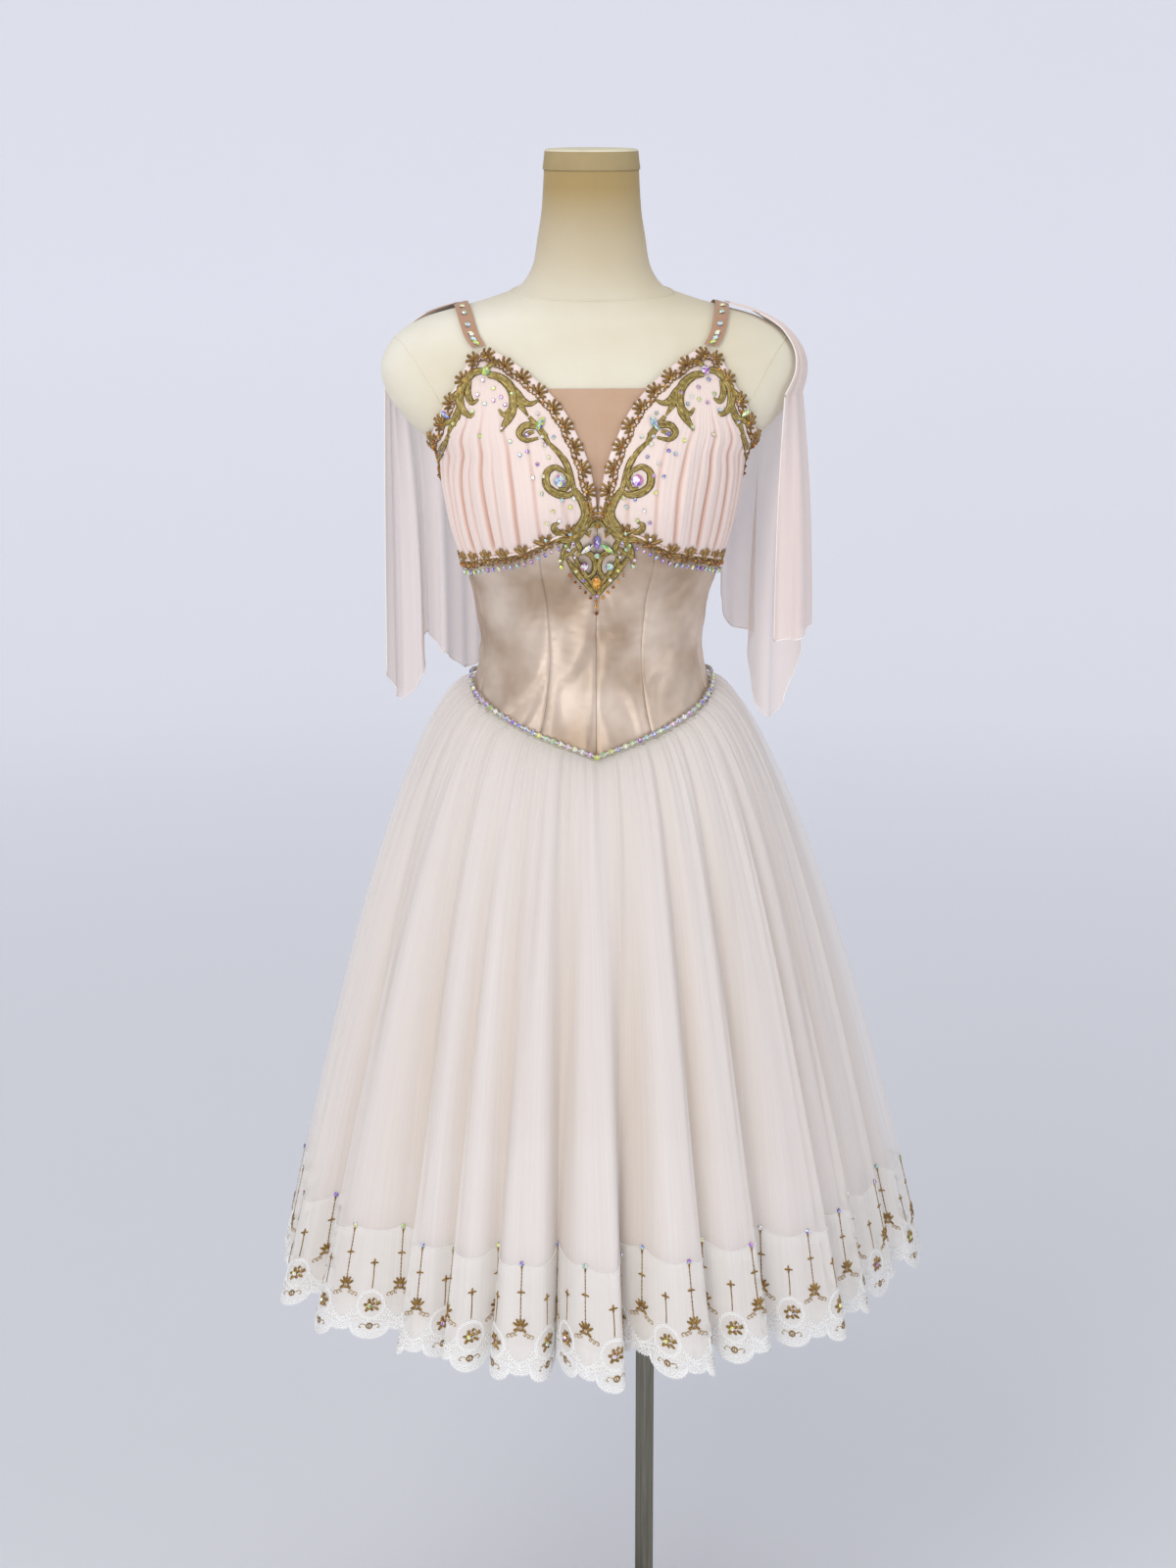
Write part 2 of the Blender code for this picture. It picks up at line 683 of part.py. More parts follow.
def skirt_point(angle, down, layer):
    """A point of a layer: down is 0 at the waist and 1 at the hem."""
    start = lifted(angle, waist_height(angle) - CHAIN_WIDTH / 2 - layer.drop, layer.lift)
    out = np.stack([np.sin(np.radians(angle)), -np.cos(np.radians(angle)), 0 * angle], axis=-1)
    hem = out * layer.hem_radius
    hem[..., 2] = layer.hem_height
    spread = down**0.6
    fold = layer.fold * fold_depth(angle) * np.cos(fold_phase(angle)) * down**1.1
    point = start + (hem - start) * spread
    point += out * fold[..., None]
    point[..., 2] = start[..., 2] + (layer.hem_height - start[..., 2]) * down
    return point


def build_skirt():
    for layer in SKIRT_LAYERS:
        angles = fold_columns(layer.columns)
        levels = [skirt_point(angles, down, layer) for down in reversed(layer.rows)]
        look = organza() if layer.name == "skirt_border" else tulle()
        sheet(layer.name, np.stack(levels), TULLE_THICKNESS, look, closed=True)


# ---------------------------------------------------------------- drapes


def drape_column(length, gathered):
    """One length of a drape, from the strap's top over the shoulder and down to its end."""
    points = []
    for reach in DRAPE_REACH:
        angle = gathered + (length.angle - gathered) * reach**1.3
        points.append(lifted(angle, DRAPE_TOP + (DRAPE_LEAVES - DRAPE_TOP) * reach, DRAPE_LIFT))
    leaving = lifted(length.angle, DRAPE_LEAVES, DRAPE_LIFT)
    hang = np.array([length.x, length.y, length.end])
    for fall in DRAPE_FALL:
        sway = 1 - (1 - fall) ** 2.2
        point = leaving + (hang - leaving) * sway
        point[2] = DRAPE_LEAVES + (length.end - DRAPE_LEAVES) * fall
        points.append(point)
    return points


def build_drapes():
    right = ("drape_right", RIGHT_DRAPE, RIGHT_GATHER)
    left = ("drape_left", LEFT_DRAPE, LEFT_GATHER)
    for name, lengths, gather in (right, left):
        spread = np.linspace(-gather.spread / 2, gather.spread / 2, len(lengths))
        columns = [drape_column(*item) for item in zip(lengths, gather.angle + spread)]
        grid = np.array(columns).transpose(1, 0, 2)[::-1]
        if name == "drape_left":
            grid = mirrored(grid)
        sheet(name, grid, DRAPE_THICKNESS, chiffon())


def main():
    for old in list(bpy.data.objects):
        bpy.data.objects.remove(old)
    collection = bpy.data.collections.new("ballet_tutu")
    bpy.context.scene.collection.children.link(collection)
    build_stand()
    build_form()
    build_bodice()
    build_cups()
    build_mesh_insert()
    build_edgings()
    build_piping()
    build_medallion()
    build_waist_chain()
    build_straps()
    build_skirt()
    build_drapes()


main()
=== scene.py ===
"""The looks of a romantic ballet tutu dress on its dress form.

Lengths are metres in the CAD frame: +Z up, the dress faces -Y, left is -X. Every cloth is a
thin shell on the dress form's surface or on the skirt's own surface, in its own pattern.
"""

import json
import math
from collections import namedtuple

import bpy
import numpy as np
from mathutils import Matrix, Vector
from mathutils.bvhtree import BVHTree

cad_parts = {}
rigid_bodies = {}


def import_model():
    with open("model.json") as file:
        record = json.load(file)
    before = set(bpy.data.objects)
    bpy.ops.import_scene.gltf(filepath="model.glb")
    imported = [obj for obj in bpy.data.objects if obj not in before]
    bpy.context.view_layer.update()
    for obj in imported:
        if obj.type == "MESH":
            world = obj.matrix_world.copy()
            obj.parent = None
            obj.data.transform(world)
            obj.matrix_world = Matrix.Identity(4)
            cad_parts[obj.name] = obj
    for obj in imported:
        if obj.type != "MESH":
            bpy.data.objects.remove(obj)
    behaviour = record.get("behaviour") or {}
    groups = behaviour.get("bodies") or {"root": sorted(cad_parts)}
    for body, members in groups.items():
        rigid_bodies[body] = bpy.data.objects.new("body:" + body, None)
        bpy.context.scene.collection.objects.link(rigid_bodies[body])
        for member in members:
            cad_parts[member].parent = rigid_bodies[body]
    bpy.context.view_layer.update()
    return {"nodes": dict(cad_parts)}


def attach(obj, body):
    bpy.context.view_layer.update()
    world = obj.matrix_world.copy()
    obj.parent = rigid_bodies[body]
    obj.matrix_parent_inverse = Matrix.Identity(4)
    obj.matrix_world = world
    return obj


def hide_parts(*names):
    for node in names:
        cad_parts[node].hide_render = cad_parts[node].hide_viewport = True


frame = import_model()

# ---------------------------------------------------------------- sizes shared with the CAD

Level = namedtuple("Level", "height half_width front back squareness")
FORM_LEVELS = [
    Level(0.8600, 0.1560, 0.0920, 0.1080, 2.2),
    Level(0.9500, 0.1650, 0.1000, 0.1180, 2.2),
    Level(1.0000, 0.1620, 0.1000, 0.1140, 2.2),
    Level(1.0500, 0.1460, 0.0960, 0.1000, 2.2),
    Level(1.1000, 0.1180, 0.0890, 0.0830, 2.2),
    Level(1.1500, 0.1075, 0.0850, 0.0750, 2.2),
    Level(1.2000, 0.1150, 0.0880, 0.0790, 2.2),
    Level(1.2370, 0.1260, 0.0930, 0.0840, 2.3),
    Level(1.2700, 0.1355, 0.0990, 0.0890, 2.3),
    Level(1.3060, 0.1420, 0.1050, 0.0950, 2.3),
    Level(1.3400, 0.1480, 0.1060, 0.0980, 2.3),
    Level(1.3710, 0.1800, 0.1020, 0.0990, 2.3),
    Level(1.3980, 0.2000, 0.0945, 0.0980, 2.3),
    Level(1.4210, 0.2060, 0.0850, 0.0940, 2.3),
    Level(1.4325, 0.2040, 0.0790, 0.0900, 2.3),
    Level(1.4540, 0.1900, 0.0670, 0.0790, 2.2),
    Level(1.4700, 0.1640, 0.0590, 0.0700, 2.1),
    Level(1.4810, 0.1270, 0.0550, 0.0660, 2.0),
    Level(1.4880, 0.1020, 0.0520, 0.0640, 2.0),
    Level(1.5020, 0.0680, 0.0480, 0.0620, 2.0),
    Level(1.5240, 0.0560, 0.0440, 0.0580, 2.0),
    Level(1.5450, 0.0526, 0.0410, 0.0560, 2.0),
    Level(1.5760, 0.0480, 0.0380, 0.0550, 2.0),
    Level(1.6310, 0.0450, 0.0350, 0.0550, 2.0),
]
BUST_X = 0.070
BUST_HEIGHT = 1.300
BUST_RISE = 0.032
BUST_SPREAD_X = 0.055
BUST_SPREAD_Z = 0.060

Edge = namedtuple("Edge", "x height")
NECKLINE = [
    Edge(0.0010, 1.2900),
    Edge(0.0070, 1.3266),
    Edge(0.0159, 1.3557),
    Edge(0.0295, 1.3846),
    Edge(0.0486, 1.4079),
    Edge(0.0710, 1.4264),
    Edge(0.0944, 1.4403),
    Edge(0.1060, 1.4440),
]
ARMHOLE = [
    Edge(0.1538, 1.3526),
    Edge(0.1514, 1.3708),
    Edge(0.1430, 1.3918),
    Edge(0.1300, 1.4136),
    Edge(0.1135, 1.4400),
]
SIDE_SEAM_ANGLE = 89.0
SIDE_TOP = 1.3180

Line = namedtuple("Line", "angle height")
UNDERBUST = [
    Line(0, 1.2860),
    Line(18, 1.2690),
    Line(30, 1.2560),
    Line(48, 1.2470),
    Line(70, 1.2380),
    Line(89, 1.2340),
]
BACK_TOP = [Line(89, 1.3180), Line(110, 1.3020), Line(135, 1.2860), Line(180, 1.2740)]

Panel = namedtuple("Panel", "name start end top_edge")
BODICE_PANELS = [
    Panel("bodice_centre", 0, 22, UNDERBUST),
    Panel("bodice_side_front", 22, 70, UNDERBUST),
    Panel("bodice_side", 70, 89, UNDERBUST),
    Panel("bodice_side_back", 89, 134, BACK_TOP),
    Panel("bodice_back", 134, 180, BACK_TOP),
]

WAIST_FRONT = 1.0515
WAIST_SIDE = 1.1156
WAIST_BACK = 1.0950
FOLD_COUNT = 26
BORDER_TOP = 0.82

Layer = namedtuple("Layer", "name lift drop hem_radius hem_height fold")
OVER = Layer("skirt_over", 0.0068, 0.0018, 0.311, 0.500, 0.0170)
MIDDLE = Layer("skirt_middle", 0.0048, 0.0050, 0.297, 0.512, 0.0145)
UNDER = Layer("skirt_under", 0.0028, 0.0085, 0.283, 0.524, 0.0120)

Station = namedtuple("Station", "x angle")
STRAP_PATH = [
    Station(0.1110, -53),
    Station(0.1180, -42),
    Station(0.1250, -15),
    Station(0.1265, 5),
    Station(0.1240, 40),
    Station(0.1150, 75),
    Station(0.1050, 105),
    Station(0.0932, 149.3),
]
SHOULDER_LINE_HEIGHT = 1.400
STRAP_WIDTH = 0.0136

Length = namedtuple("Length", "angle x y end")
RIGHT_DRAPE = [
    Length(62, 0.178, -0.052, 1.153),
    Length(70, 0.197, -0.060, 1.160),
    Length(80, 0.214, -0.042, 1.172),
    Length(91, 0.211, -0.010, 1.148),
    Length(99, 0.194, 0.008, 1.088),
    Length(107, 0.178, -0.004, 1.069),
    Length(115, 0.160, 0.020, 1.105),
    Length(123, 0.167, 0.048, 1.150),
    Length(131, 0.147, 0.066, 1.148),
    Length(141, 0.134, 0.060, 1.185),
]
LEFT_DRAPE = [
    Length(103, 0.205, 0.036, 1.110),
    Length(110, 0.193, 0.060, 1.083),
    Length(117, 0.172, 0.048, 1.100),
    Length(125, 0.163, 0.072, 1.150),
    Length(133, 0.148, 0.064, 1.125),
    Length(141, 0.132, 0.082, 1.113),
    Length(149, 0.117, 0.098, 1.106),
    Length(157, 0.100, 0.108, 1.112),
]
DRAPE_LIFT = 0.0070
DRAPE_TOP = 1.4790
DRAPE_LEAVES = 1.4000

# How far the cloth and the trimmings on it stand off the form.
CLOTH_LIFT = 0.0030
LEAST_LIFT = 0.0042
TRIM_LIFT = 0.0050

SIDES = (("right", 1), ("left", -1))


# ---------------------------------------------------------------- the form's surface


def eased(keys, values, at):
    """The values at places between the keys, on a smooth curve that never overshoots them."""
    keys, values, at = (np.asarray(item, float) for item in (keys, values, at))
    steps = np.diff(keys)
    slopes = np.diff(values) / steps
    tangents = np.concatenate([slopes[:1], np.zeros(len(keys) - 2), slopes[-1:]])
    before, after = slopes[:-1], slopes[1:]
    same = before * after > 0
    tangents[1:-1][same] = (2 * before * after)[same] / (before + after)[same]
    index = np.clip(np.searchsorted(keys, at, side="right") - 1, 0, len(steps) - 1)
    step = steps[index]
    t = np.clip((at - keys[index]) / step, 0, 1)
    start = (1 + 2 * t) * (1 - t) ** 2 * values[index] + t * (1 - t) ** 2 * step * tangents[index]
    end = t * t * (3 - 2 * t) * values[index + 1] + t * t * (t - 1) * step * tangents[index + 1]
    return start + end


def unit(vectors):
    """The same vectors, each with length 1."""
    return vectors / np.maximum(np.linalg.norm(vectors, axis=-1, keepdims=True), 1e-12)


def distance_along(points):
    """How far along a path each of its points lies."""
    return np.concatenate([[0], np.cumsum(np.linalg.norm(np.diff(points, axis=0), axis=1))])


def of_table(rows, key, value, at):
    return eased([getattr(row, key) for row in rows], [getattr(row, value) for row in rows], at)


def bust(x, height):
    across = ((np.abs(x) - BUST_X) / BUST_SPREAD_X) ** 2
    up = ((height - BUST_HEIGHT) / BUST_SPREAD_Z) ** 2
    return BUST_RISE * np.exp(-0.9 * (across + up))


def form_point(angle, height):
    """A point of the form's surface at an angle in degrees and a height."""
    sine, cosine = np.sin(np.radians(angle)), np.cos(np.radians(angle))
    power = 2 / of_table(FORM_LEVELS, "height", "squareness", height)
    x = of_table(FORM_LEVELS, "height", "half_width", height) * np.sign(sine) * np.abs(sine) ** power
    front = of_table(FORM_LEVELS, "height", "front", height) + bust(x, height)
    back = of_table(FORM_LEVELS, "height", "back", height)
    y = np.where(cosine > 0, -front, back) * np.abs(cosine) ** power
    return np.stack(np.broadcast_arrays(x, y, height), axis=-1)


def form_normal(angle, height):
    angle, height = np.broadcast_arrays(np.asarray(angle, float), np.asarray(height, float))
    along = form_point(angle + 1.0, height) - form_point(angle - 1.0, height)
    up = form_point(angle, height + 0.002) - form_point(angle, height - 0.002)
    return unit(np.cross(along, up))


def lifted(angle, height, lift):
    """A point at a distance out from the form's surface."""
    return form_point(angle, height) + form_normal(angle, height) * np.asarray(lift)[..., None]


def angle_at(x, height):
    """The angle in degrees, with x's sign, at which the form's front is x across."""
    half_width = of_table(FORM_LEVELS, "height", "half_width", height)
    squareness = of_table(FORM_LEVELS, "height", "squareness", height)
    share = np.clip(np.abs(x) / half_width, 0, 1) ** (squareness / 2)
    return np.degrees(np.arcsin(share)) * np.sign(x)


def shares_at(points):
    """How far points lie across and to the front or back, as shares whose sum is 1 on the form."""
    x, y, height = np.moveaxis(np.asarray(points, float), -1, 0)
    squareness = of_table(FORM_LEVELS, "height", "squareness", height)
    front = of_table(FORM_LEVELS, "height", "front", height) + bust(x, height)
    back = of_table(FORM_LEVELS, "height", "back", height)
    across = np.abs(x) / of_table(FORM_LEVELS, "height", "half_width", height)
    deep = np.abs(y) / np.where(y < 0, front, back)
    return across**squareness, deep**squareness


def onto_form(points, lift):
    """Points on the +X half, brought level to the form's surface and lifted off it."""
    across, deep = shares_at(points)
    angle = np.degrees(np.arctan2(np.sqrt(across), np.sqrt(deep) * -np.sign(points[..., 1])))
    return lifted(angle, points[..., 2], lift)


def surface_along(start, direction):
    """Where lines from points inside the form leave it, by halving the 0.3 m they may run."""
    start, direction = np.asarray(start, float), np.asarray(direction, float)
    near = np.zeros(start.shape[:-1])
    far = near + 0.3
    for _ in range(36):
        middle = (near + far) / 2
        inside = sum(shares_at(start + middle[..., None] * direction)) < 1
        near, far = np.where(inside, middle, near), np.where(inside, far, middle)
    return start + near[..., None] * direction


def edge_path(rows, count, start=0.0, end=1.0):
    """Points along an edge, evenly spaced: angle and height."""
    angles = np.array([row[0] for row in rows], float)
    heights = np.array([row[1] for row in rows], float)
    length = distance_along(form_point(angles, heights))
    at = np.linspace(start, end, count) * length[-1]
    return np.stack([eased(length, angles, at), eased(length, heights, at)], axis=-1)


def neckline_rows():
    return [(angle_at(edge.x, edge.height), edge.height) for edge in NECKLINE]


def armhole_rows():
    """The edge from the side seam up to the strap."""
    upper = [(angle_at(edge.x, edge.height), edge.height) for edge in ARMHOLE]
    return [(SIDE_SEAM_ANGLE, SIDE_TOP), *upper]


def waist_height(angle):
    """The pointed line where the bodice ends and the skirt starts."""
    share = np.abs((np.asarray(angle, float) + 180) % 360 - 180) / 90
    front = WAIST_FRONT + (WAIST_SIDE - WAIST_FRONT) * np.minimum(share, 1) ** 0.82
    turn = np.clip(share - 1, 0, 1)
    behind = WAIST_SIDE - (WAIST_SIDE - WAIST_BACK) * (1 - np.cos(np.pi * turn)) / 2
    return np.where(share < 1, front, behind)


# ---------------------------------------------------------------- shader helpers


def srgb(red, green, blue):
    """A screen colour from 0 to 255, as the linear colour that shaders take."""
    share = np.array([red, green, blue]) / 255
    linear = np.where(share <= 0.04045, share / 12.92, ((share + 0.055) / 1.055) ** 2.4)
    return (*linear.tolist(), 1.0)


class Shader:
    """A Principled material with its nodes, made by short calls.

    Sockets given by keyword are named with underscores for their spaces."""

    def __init__(self, name, roughness=0.6, metallic=0.0):
        self.material = bpy.data.materials.new(name)
        self.material.use_nodes = True
        self.tree = self.material.node_tree
        self.main = self.tree.nodes["Principled BSDF"]
        self.set(Roughness=roughness, Metallic=metallic)

    def set(self, **inputs):
        for name, value in inputs.items():
            self.main.inputs[name.replace("_", " ")].default_value = value

    def link(self, output, socket):
        self.tree.links.new(output, self.main.inputs[socket])

    def plug(self, value, socket):
        if isinstance(value, bpy.types.NodeSocket):
            self.tree.links.new(value, socket)
        else:
            socket.default_value = value

    def node(self, kind, settings=(), **inputs):
        made = self.tree.nodes.new(kind)
        for name, value in dict(settings).items():
            setattr(made, name, value)
        for name, value in inputs.items():
            self.plug(value, made.inputs[name.replace("_", " ")])
        return made

    def coordinates(self, kind="Object"):
        return self.node("ShaderNodeTexCoord").outputs[kind]

    def scaled(self, vector, scale):
        return self.node("ShaderNodeMapping", Vector=vector, Scale=scale).outputs["Vector"]

    def noise(self, vector, scale, detail=2.0, roughness=0.5):
        inputs = {"Scale": scale, "Detail": detail, "Roughness": roughness}
        return self.node("ShaderNodeTexNoise", Vector=vector, **inputs).outputs["Fac"]

    def stretched_noise(self, scale, detail=1.0, roughness=0.5):
        """Noise on the cloth's own coordinates, with a scale for each direction."""
        return self.noise(self.scaled(self.coordinates("UV"), scale), 1.0, detail, roughness)

    def ramp(self, value, stops):
        made = self.node("ShaderNodeValToRGB", Fac=value)
        elements = made.color_ramp.elements
        while len(elements) < len(stops):
            elements.new(0.5)
        for element, (place, colour) in zip(elements, stops):
            element.position = place
            element.color = colour
        return made.outputs["Color"]

    def range(self, value, low, high, to_low=0.0, to_high=1.0):
        ends = {"From_Min": low, "From_Max": high, "To_Min": to_low, "To_Max": to_high}
        return self.node("ShaderNodeMapRange", Value=value, **ends).outputs["Result"]

    def mix(self, share, first, second):
        made = self.node("ShaderNodeMix", {"data_type": "RGBA"})
        for index, value in ((0, share), (6, first), (7, second)):
            self.plug(value, made.inputs[index])
        return made.outputs[2]

    def blend(self, first, first_share, second, second_share):
        """Two values, each times its share, added up."""
        first = self.maths("MULTIPLY", first, first_share)
        return self.maths("ADD", first, self.maths("MULTIPLY", second, second_share))

    def maths(self, operation, first, second):
        made = self.node("ShaderNodeMath", {"operation": operation})
        for socket, value in zip(made.inputs, (first, second)):
            self.plug(value, socket)
        return made.outputs[0]

    def attribute(self, name):
        return self.node("ShaderNodeAttribute", {"attribute_name": name}).outputs["Fac"]

    def weave(self, threads_per_metre, stretch=(1, 1, 1)):
        """The height of a plain weave on the cloth's own coordinates, as a share."""
        vector = self.scaled(self.coordinates("UV"), stretch)
        waves = []
        for direction in ("X", "Y"):
            made = self.node(
                "ShaderNodeTexWave",
                {"bands_direction": direction},
                Vector=vector,
                Scale=threads_per_metre / (2 * math.pi),
                Distortion=0.6,
                Detail=0.0,
            )
            waves.append(made.outputs["Fac"])
        return self.maths("ADD", waves[0], waves[1])

    def bump(self, height, distance, strength=1.0):
        made = self.node("ShaderNodeBump", Height=height, Strength=strength, Distance=distance)
        self.link(made.outputs["Normal"], "Normal")

    def sheen(self, weight, roughness, tint=(1, 1, 1, 1)):
        self.set(Sheen_Weight=weight, Sheen_Roughness=roughness, Sheen_Tint=tint)


def canvas():
    """Cream canvas, a little yellowed towards the neck and in soft patches."""
    look = Shader("canvas", 0.85)
    place = look.coordinates()
    patches = look.noise(place, 5.0, 4.0)
    cream = look.ramp(patches, [(0.35, srgb(224, 214, 188)), (0.62, srgb(237, 232, 215))])
    height = look.node("ShaderNodeSeparateXYZ", Vector=place).outputs["Z"]
    neck = look.range(height, 1.474, 1.595)
    look.link(look.mix(neck, cream, srgb(172, 147, 96)), "Base Color")
    look.bump(look.weave(1800), 0.0001, 0.5)
    look.sheen(0.15, 0.5)
    return look.material


def cap_cloth(name, colour):
    look = Shader(name, 0.8)
    patches = look.noise(look.coordinates(), 60.0, 3.0)
    darker = (*(share * 0.82 for share in colour[:3]), 1.0)
    look.link(look.mix(patches, darker, colour), "Base Color")
    look.bump(look.noise(look.coordinates(), 900.0), 0.0002, 0.4)
    return look.material


def satin(name, light, dark, roughness, metallic=0.0):
    """Glossy cloth in soft random patches of a lit tone and a shaded tone: painted highlight and painted
    shade.
    """
    look = Shader(name, roughness, metallic)
    drift = look.noise(look.coordinates(), 14.0, 3.0)
    # Painted highlight and shade: light is a highlight colour and dark a shaded colour, laid in random
    # patches.
    look.link(look.ramp(drift, [(0.35, dark), (0.65, light)]), "Base Color")
    look.bump(look.weave(4200, (0.35, 1, 1)), 0.00004, 0.35)
    look.sheen(0.2, 0.35, light)
    look.set(Specular_IOR_Level=1.0, Anisotropic=0.4)
    return look.material


def chiffon(name, colour, fold_colour, alpha=1.0):
    """Fine matt crepe. Where the mesh's fold attribute is high it takes the fold colour, and sheer chiffon is
    dense.
    On the cups the fold colour is painted shade in the pleats' valleys; on the drapes it is the gathered
    top's own tone."""
    look = Shader(name, 0.75)
    fold = look.attribute("fold")
    # Painted shade: the fold attribute mixes in the fold colour.
    look.link(look.mix(fold, colour, fold_colour), "Base Color")
    look.bump(look.weave(3600), 0.00005, 0.5)
    look.sheen(0.35, 0.45)
    if alpha < 1:
        crepe = look.stretched_noise((2600, 2600, 1))
        thin = look.range(crepe, 0.3, 0.7, alpha - 0.08, alpha + 0.08)
        look.link(look.maths("ADD", thin, look.maths("MULTIPLY", fold, 1 - alpha)), "Alpha")
    return look.material


def tulle(name, colour, shade, alpha, deep=None):
    """Sheer net: soft streaks along the gathers, a fine open mesh and painted shade in the folds' valleys."""
    look = Shader(name, 0.85)
    wide = look.stretched_noise((55, 0.9, 1), 2.0)
    streaks = look.stretched_noise((700, 5, 1), 2.0)
    both = look.blend(wide, 0.65, streaks, 0.35)
    net = look.stretched_noise((1400, 1400, 1))
    tone = look.mix(both, shade, colour)
    if deep:
        # Painted shade: deep is a shadow tone mixed in where the fold attribute marks a valley.
        tone = look.mix(look.attribute("fold"), tone, deep)
    look.link(tone, "Base Color")
    look.link(look.range(look.blend(both, 0.6, net, 0.4), 0.3, 0.7, alpha - 0.07, alpha + 0.07), "Alpha")
    look.bump(net, 0.00012, 0.5)
    look.sheen(0.4, 0.5)
    return look.material


def plain_cloth(name, colour, shade, roughness, threads):
    look = Shader(name, roughness)
    drift = look.noise(look.coordinates(), 30.0, 3.0)
    look.link(look.mix(drift, shade, colour), "Base Color")
    look.bump(look.weave(threads), 0.00006, 0.5)
    look.sheen(0.2, 0.5)
    return look.material


def steel():
    look = Shader("steel", 0.38, 1.0)
    brushed = look.noise(look.scaled(look.coordinates(), (900, 900, 12)), 1.0, 2.0)
    look.link(look.ramp(brushed, [(0.3, srgb(104, 101, 88)), (0.7, srgb(140, 137, 124))]), "Base Color")
    look.link(look.range(brushed, 0.3, 0.7, 0.30, 0.46), "Roughness")
    look.bump(brushed, 0.00002, 0.3)
    return look.material


# ---------------------------------------------------------------- mesh helpers


def strips(name, grids, look):
    """One mesh of many grids: each is (points, cloth coordinates in metres)."""
    points, faces, spots, total = [], [], [], 0
    for grid, uv in grids:
        rows, columns = grid.shape[:2]
        index = total + np.arange(rows * columns).reshape(rows, columns)
        quads = np.stack([index[:-1, :-1], index[:-1, 1:], index[1:, 1:], index[1:, :-1]], axis=-1)
        points.append(grid.reshape(-1, 3))
        spots.append(uv.reshape(-1, 2))
        faces.append(quads.reshape(-1, 4))
        total += rows * columns
    faces = np.concatenate(faces)
    made = solid(name, np.concatenate(points), faces, look)
    layer = made.data.uv_layers.new(name="cloth")
    layer.data.foreach_set("uv", np.concatenate(spots)[faces.reshape(-1)].reshape(-1))
    return made


def shell(name, points, look, uv=None, fold=None):
    """A smooth open sheet on a grid of points, with cloth coordinates in metres."""
    if uv is None:
        across = np.linalg.norm(np.diff(points, axis=1), axis=2).mean(axis=0)
        up = np.linalg.norm(np.diff(points, axis=0), axis=2).mean(axis=1)
        u = np.concatenate([[0], np.cumsum(across)])
        v = np.concatenate([[0], np.cumsum(up)])
        uv = np.stack(np.meshgrid(u, v), axis=-1)
    made = strips(name, [(points, uv)], look)
    if fold is not None:
        deep = made.data.attributes.new("fold", "FLOAT", "POINT")
        deep.data.foreach_set("value", np.asarray(fold, float).reshape(-1))
    return made


def solid(name, points, faces, look, smooth=True):
    """A mesh object from points and faces that all have the same number of corners."""
    faces = np.asarray(faces, np.int32)
    corners = faces.shape[1]
    mesh = bpy.data.meshes.new(name)
    mesh.vertices.add(len(points))
    mesh.vertices.foreach_set("co", np.asarray(points, np.float32).reshape(-1))
    mesh.loops.add(faces.size)
    mesh.loops.foreach_set("vertex_index", faces.reshape(-1))
    mesh.polygons.add(len(faces))
    mesh.polygons.foreach_set("loop_start", np.arange(0, faces.size, corners, dtype=np.int32))
    mesh.polygons.foreach_set("loop_total", np.full(len(faces), corners, np.int32))
    mesh.polygons.foreach_set("use_smooth", np.full(len(faces), smooth))
    mesh.materials.append(look)
    mesh.update(calc_edges=True)
    made = bpy.data.objects.new(name, mesh)
    bpy.context.scene.collection.objects.link(made)
    return made


def cloth_piece(made, nodes):
    """Attaches a shell to the root body and hides the CAD nodes it replaces.

    A flared cut gives its own width and length, and its flat area is its surface's.
    """
    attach(made, "root")
    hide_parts(*nodes)
    return made


def add_on(made):
    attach(made, "root")
    return made


def mirrored(points):
    return points[:, ::-1] * (-1, 1, 1)


def waves(seed, count, low, high):
    """A soft random surface: a sum of sines whose lengths lie between low and high metres."""
    pick = np.random.default_rng(seed)
    turn = pick.uniform(0, np.pi, count)
    pace = 2 * np.pi / np.exp(pick.uniform(np.log(low), np.log(high), count))
    start = pick.uniform(0, 2 * np.pi, count)

    def height(u, v):
        total = 0
        for angle, rate, shift in zip(turn, pace, start):
            total = total + np.sin((u * np.cos(angle) + v * np.sin(angle)) * rate + shift)
        return total / math.sqrt(count)

    return height


# ---------------------------------------------------------------- stand and form


def dress_stand():
    look = steel()
    for name in ("base_plate", "pole_collar", "pole", "pole_flange"):
        node = frame["nodes"][name]
        node.data.materials.clear()
        node.data.materials.append(look)


def build_form():
    heights = np.concatenate(
        [np.linspace(0.860, 1.34, 50), np.linspace(1.342, 1.502, 80), np.linspace(1.504, 1.6107, 30)]
    )
    angles = np.linspace(-180, 180, 121)
    points = form_point(angles[None, :], heights[:, None])
    look = canvas()
    body = shell("form_canvas", points, look)
    bottom = points[0, :-1]
    centre = bottom.mean(axis=0)
    rings = np.stack([centre + (bottom - centre) * share for share in (0.001, 0.5, 1.0)])
    rings = np.concatenate([rings, rings[:, :1]], axis=1)
    under = shell("form_underside", rings, look)
    for piece in (body, under):
        add_on(piece)
    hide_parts("form_torso")
    build_cap()
    build_form_seams(look)


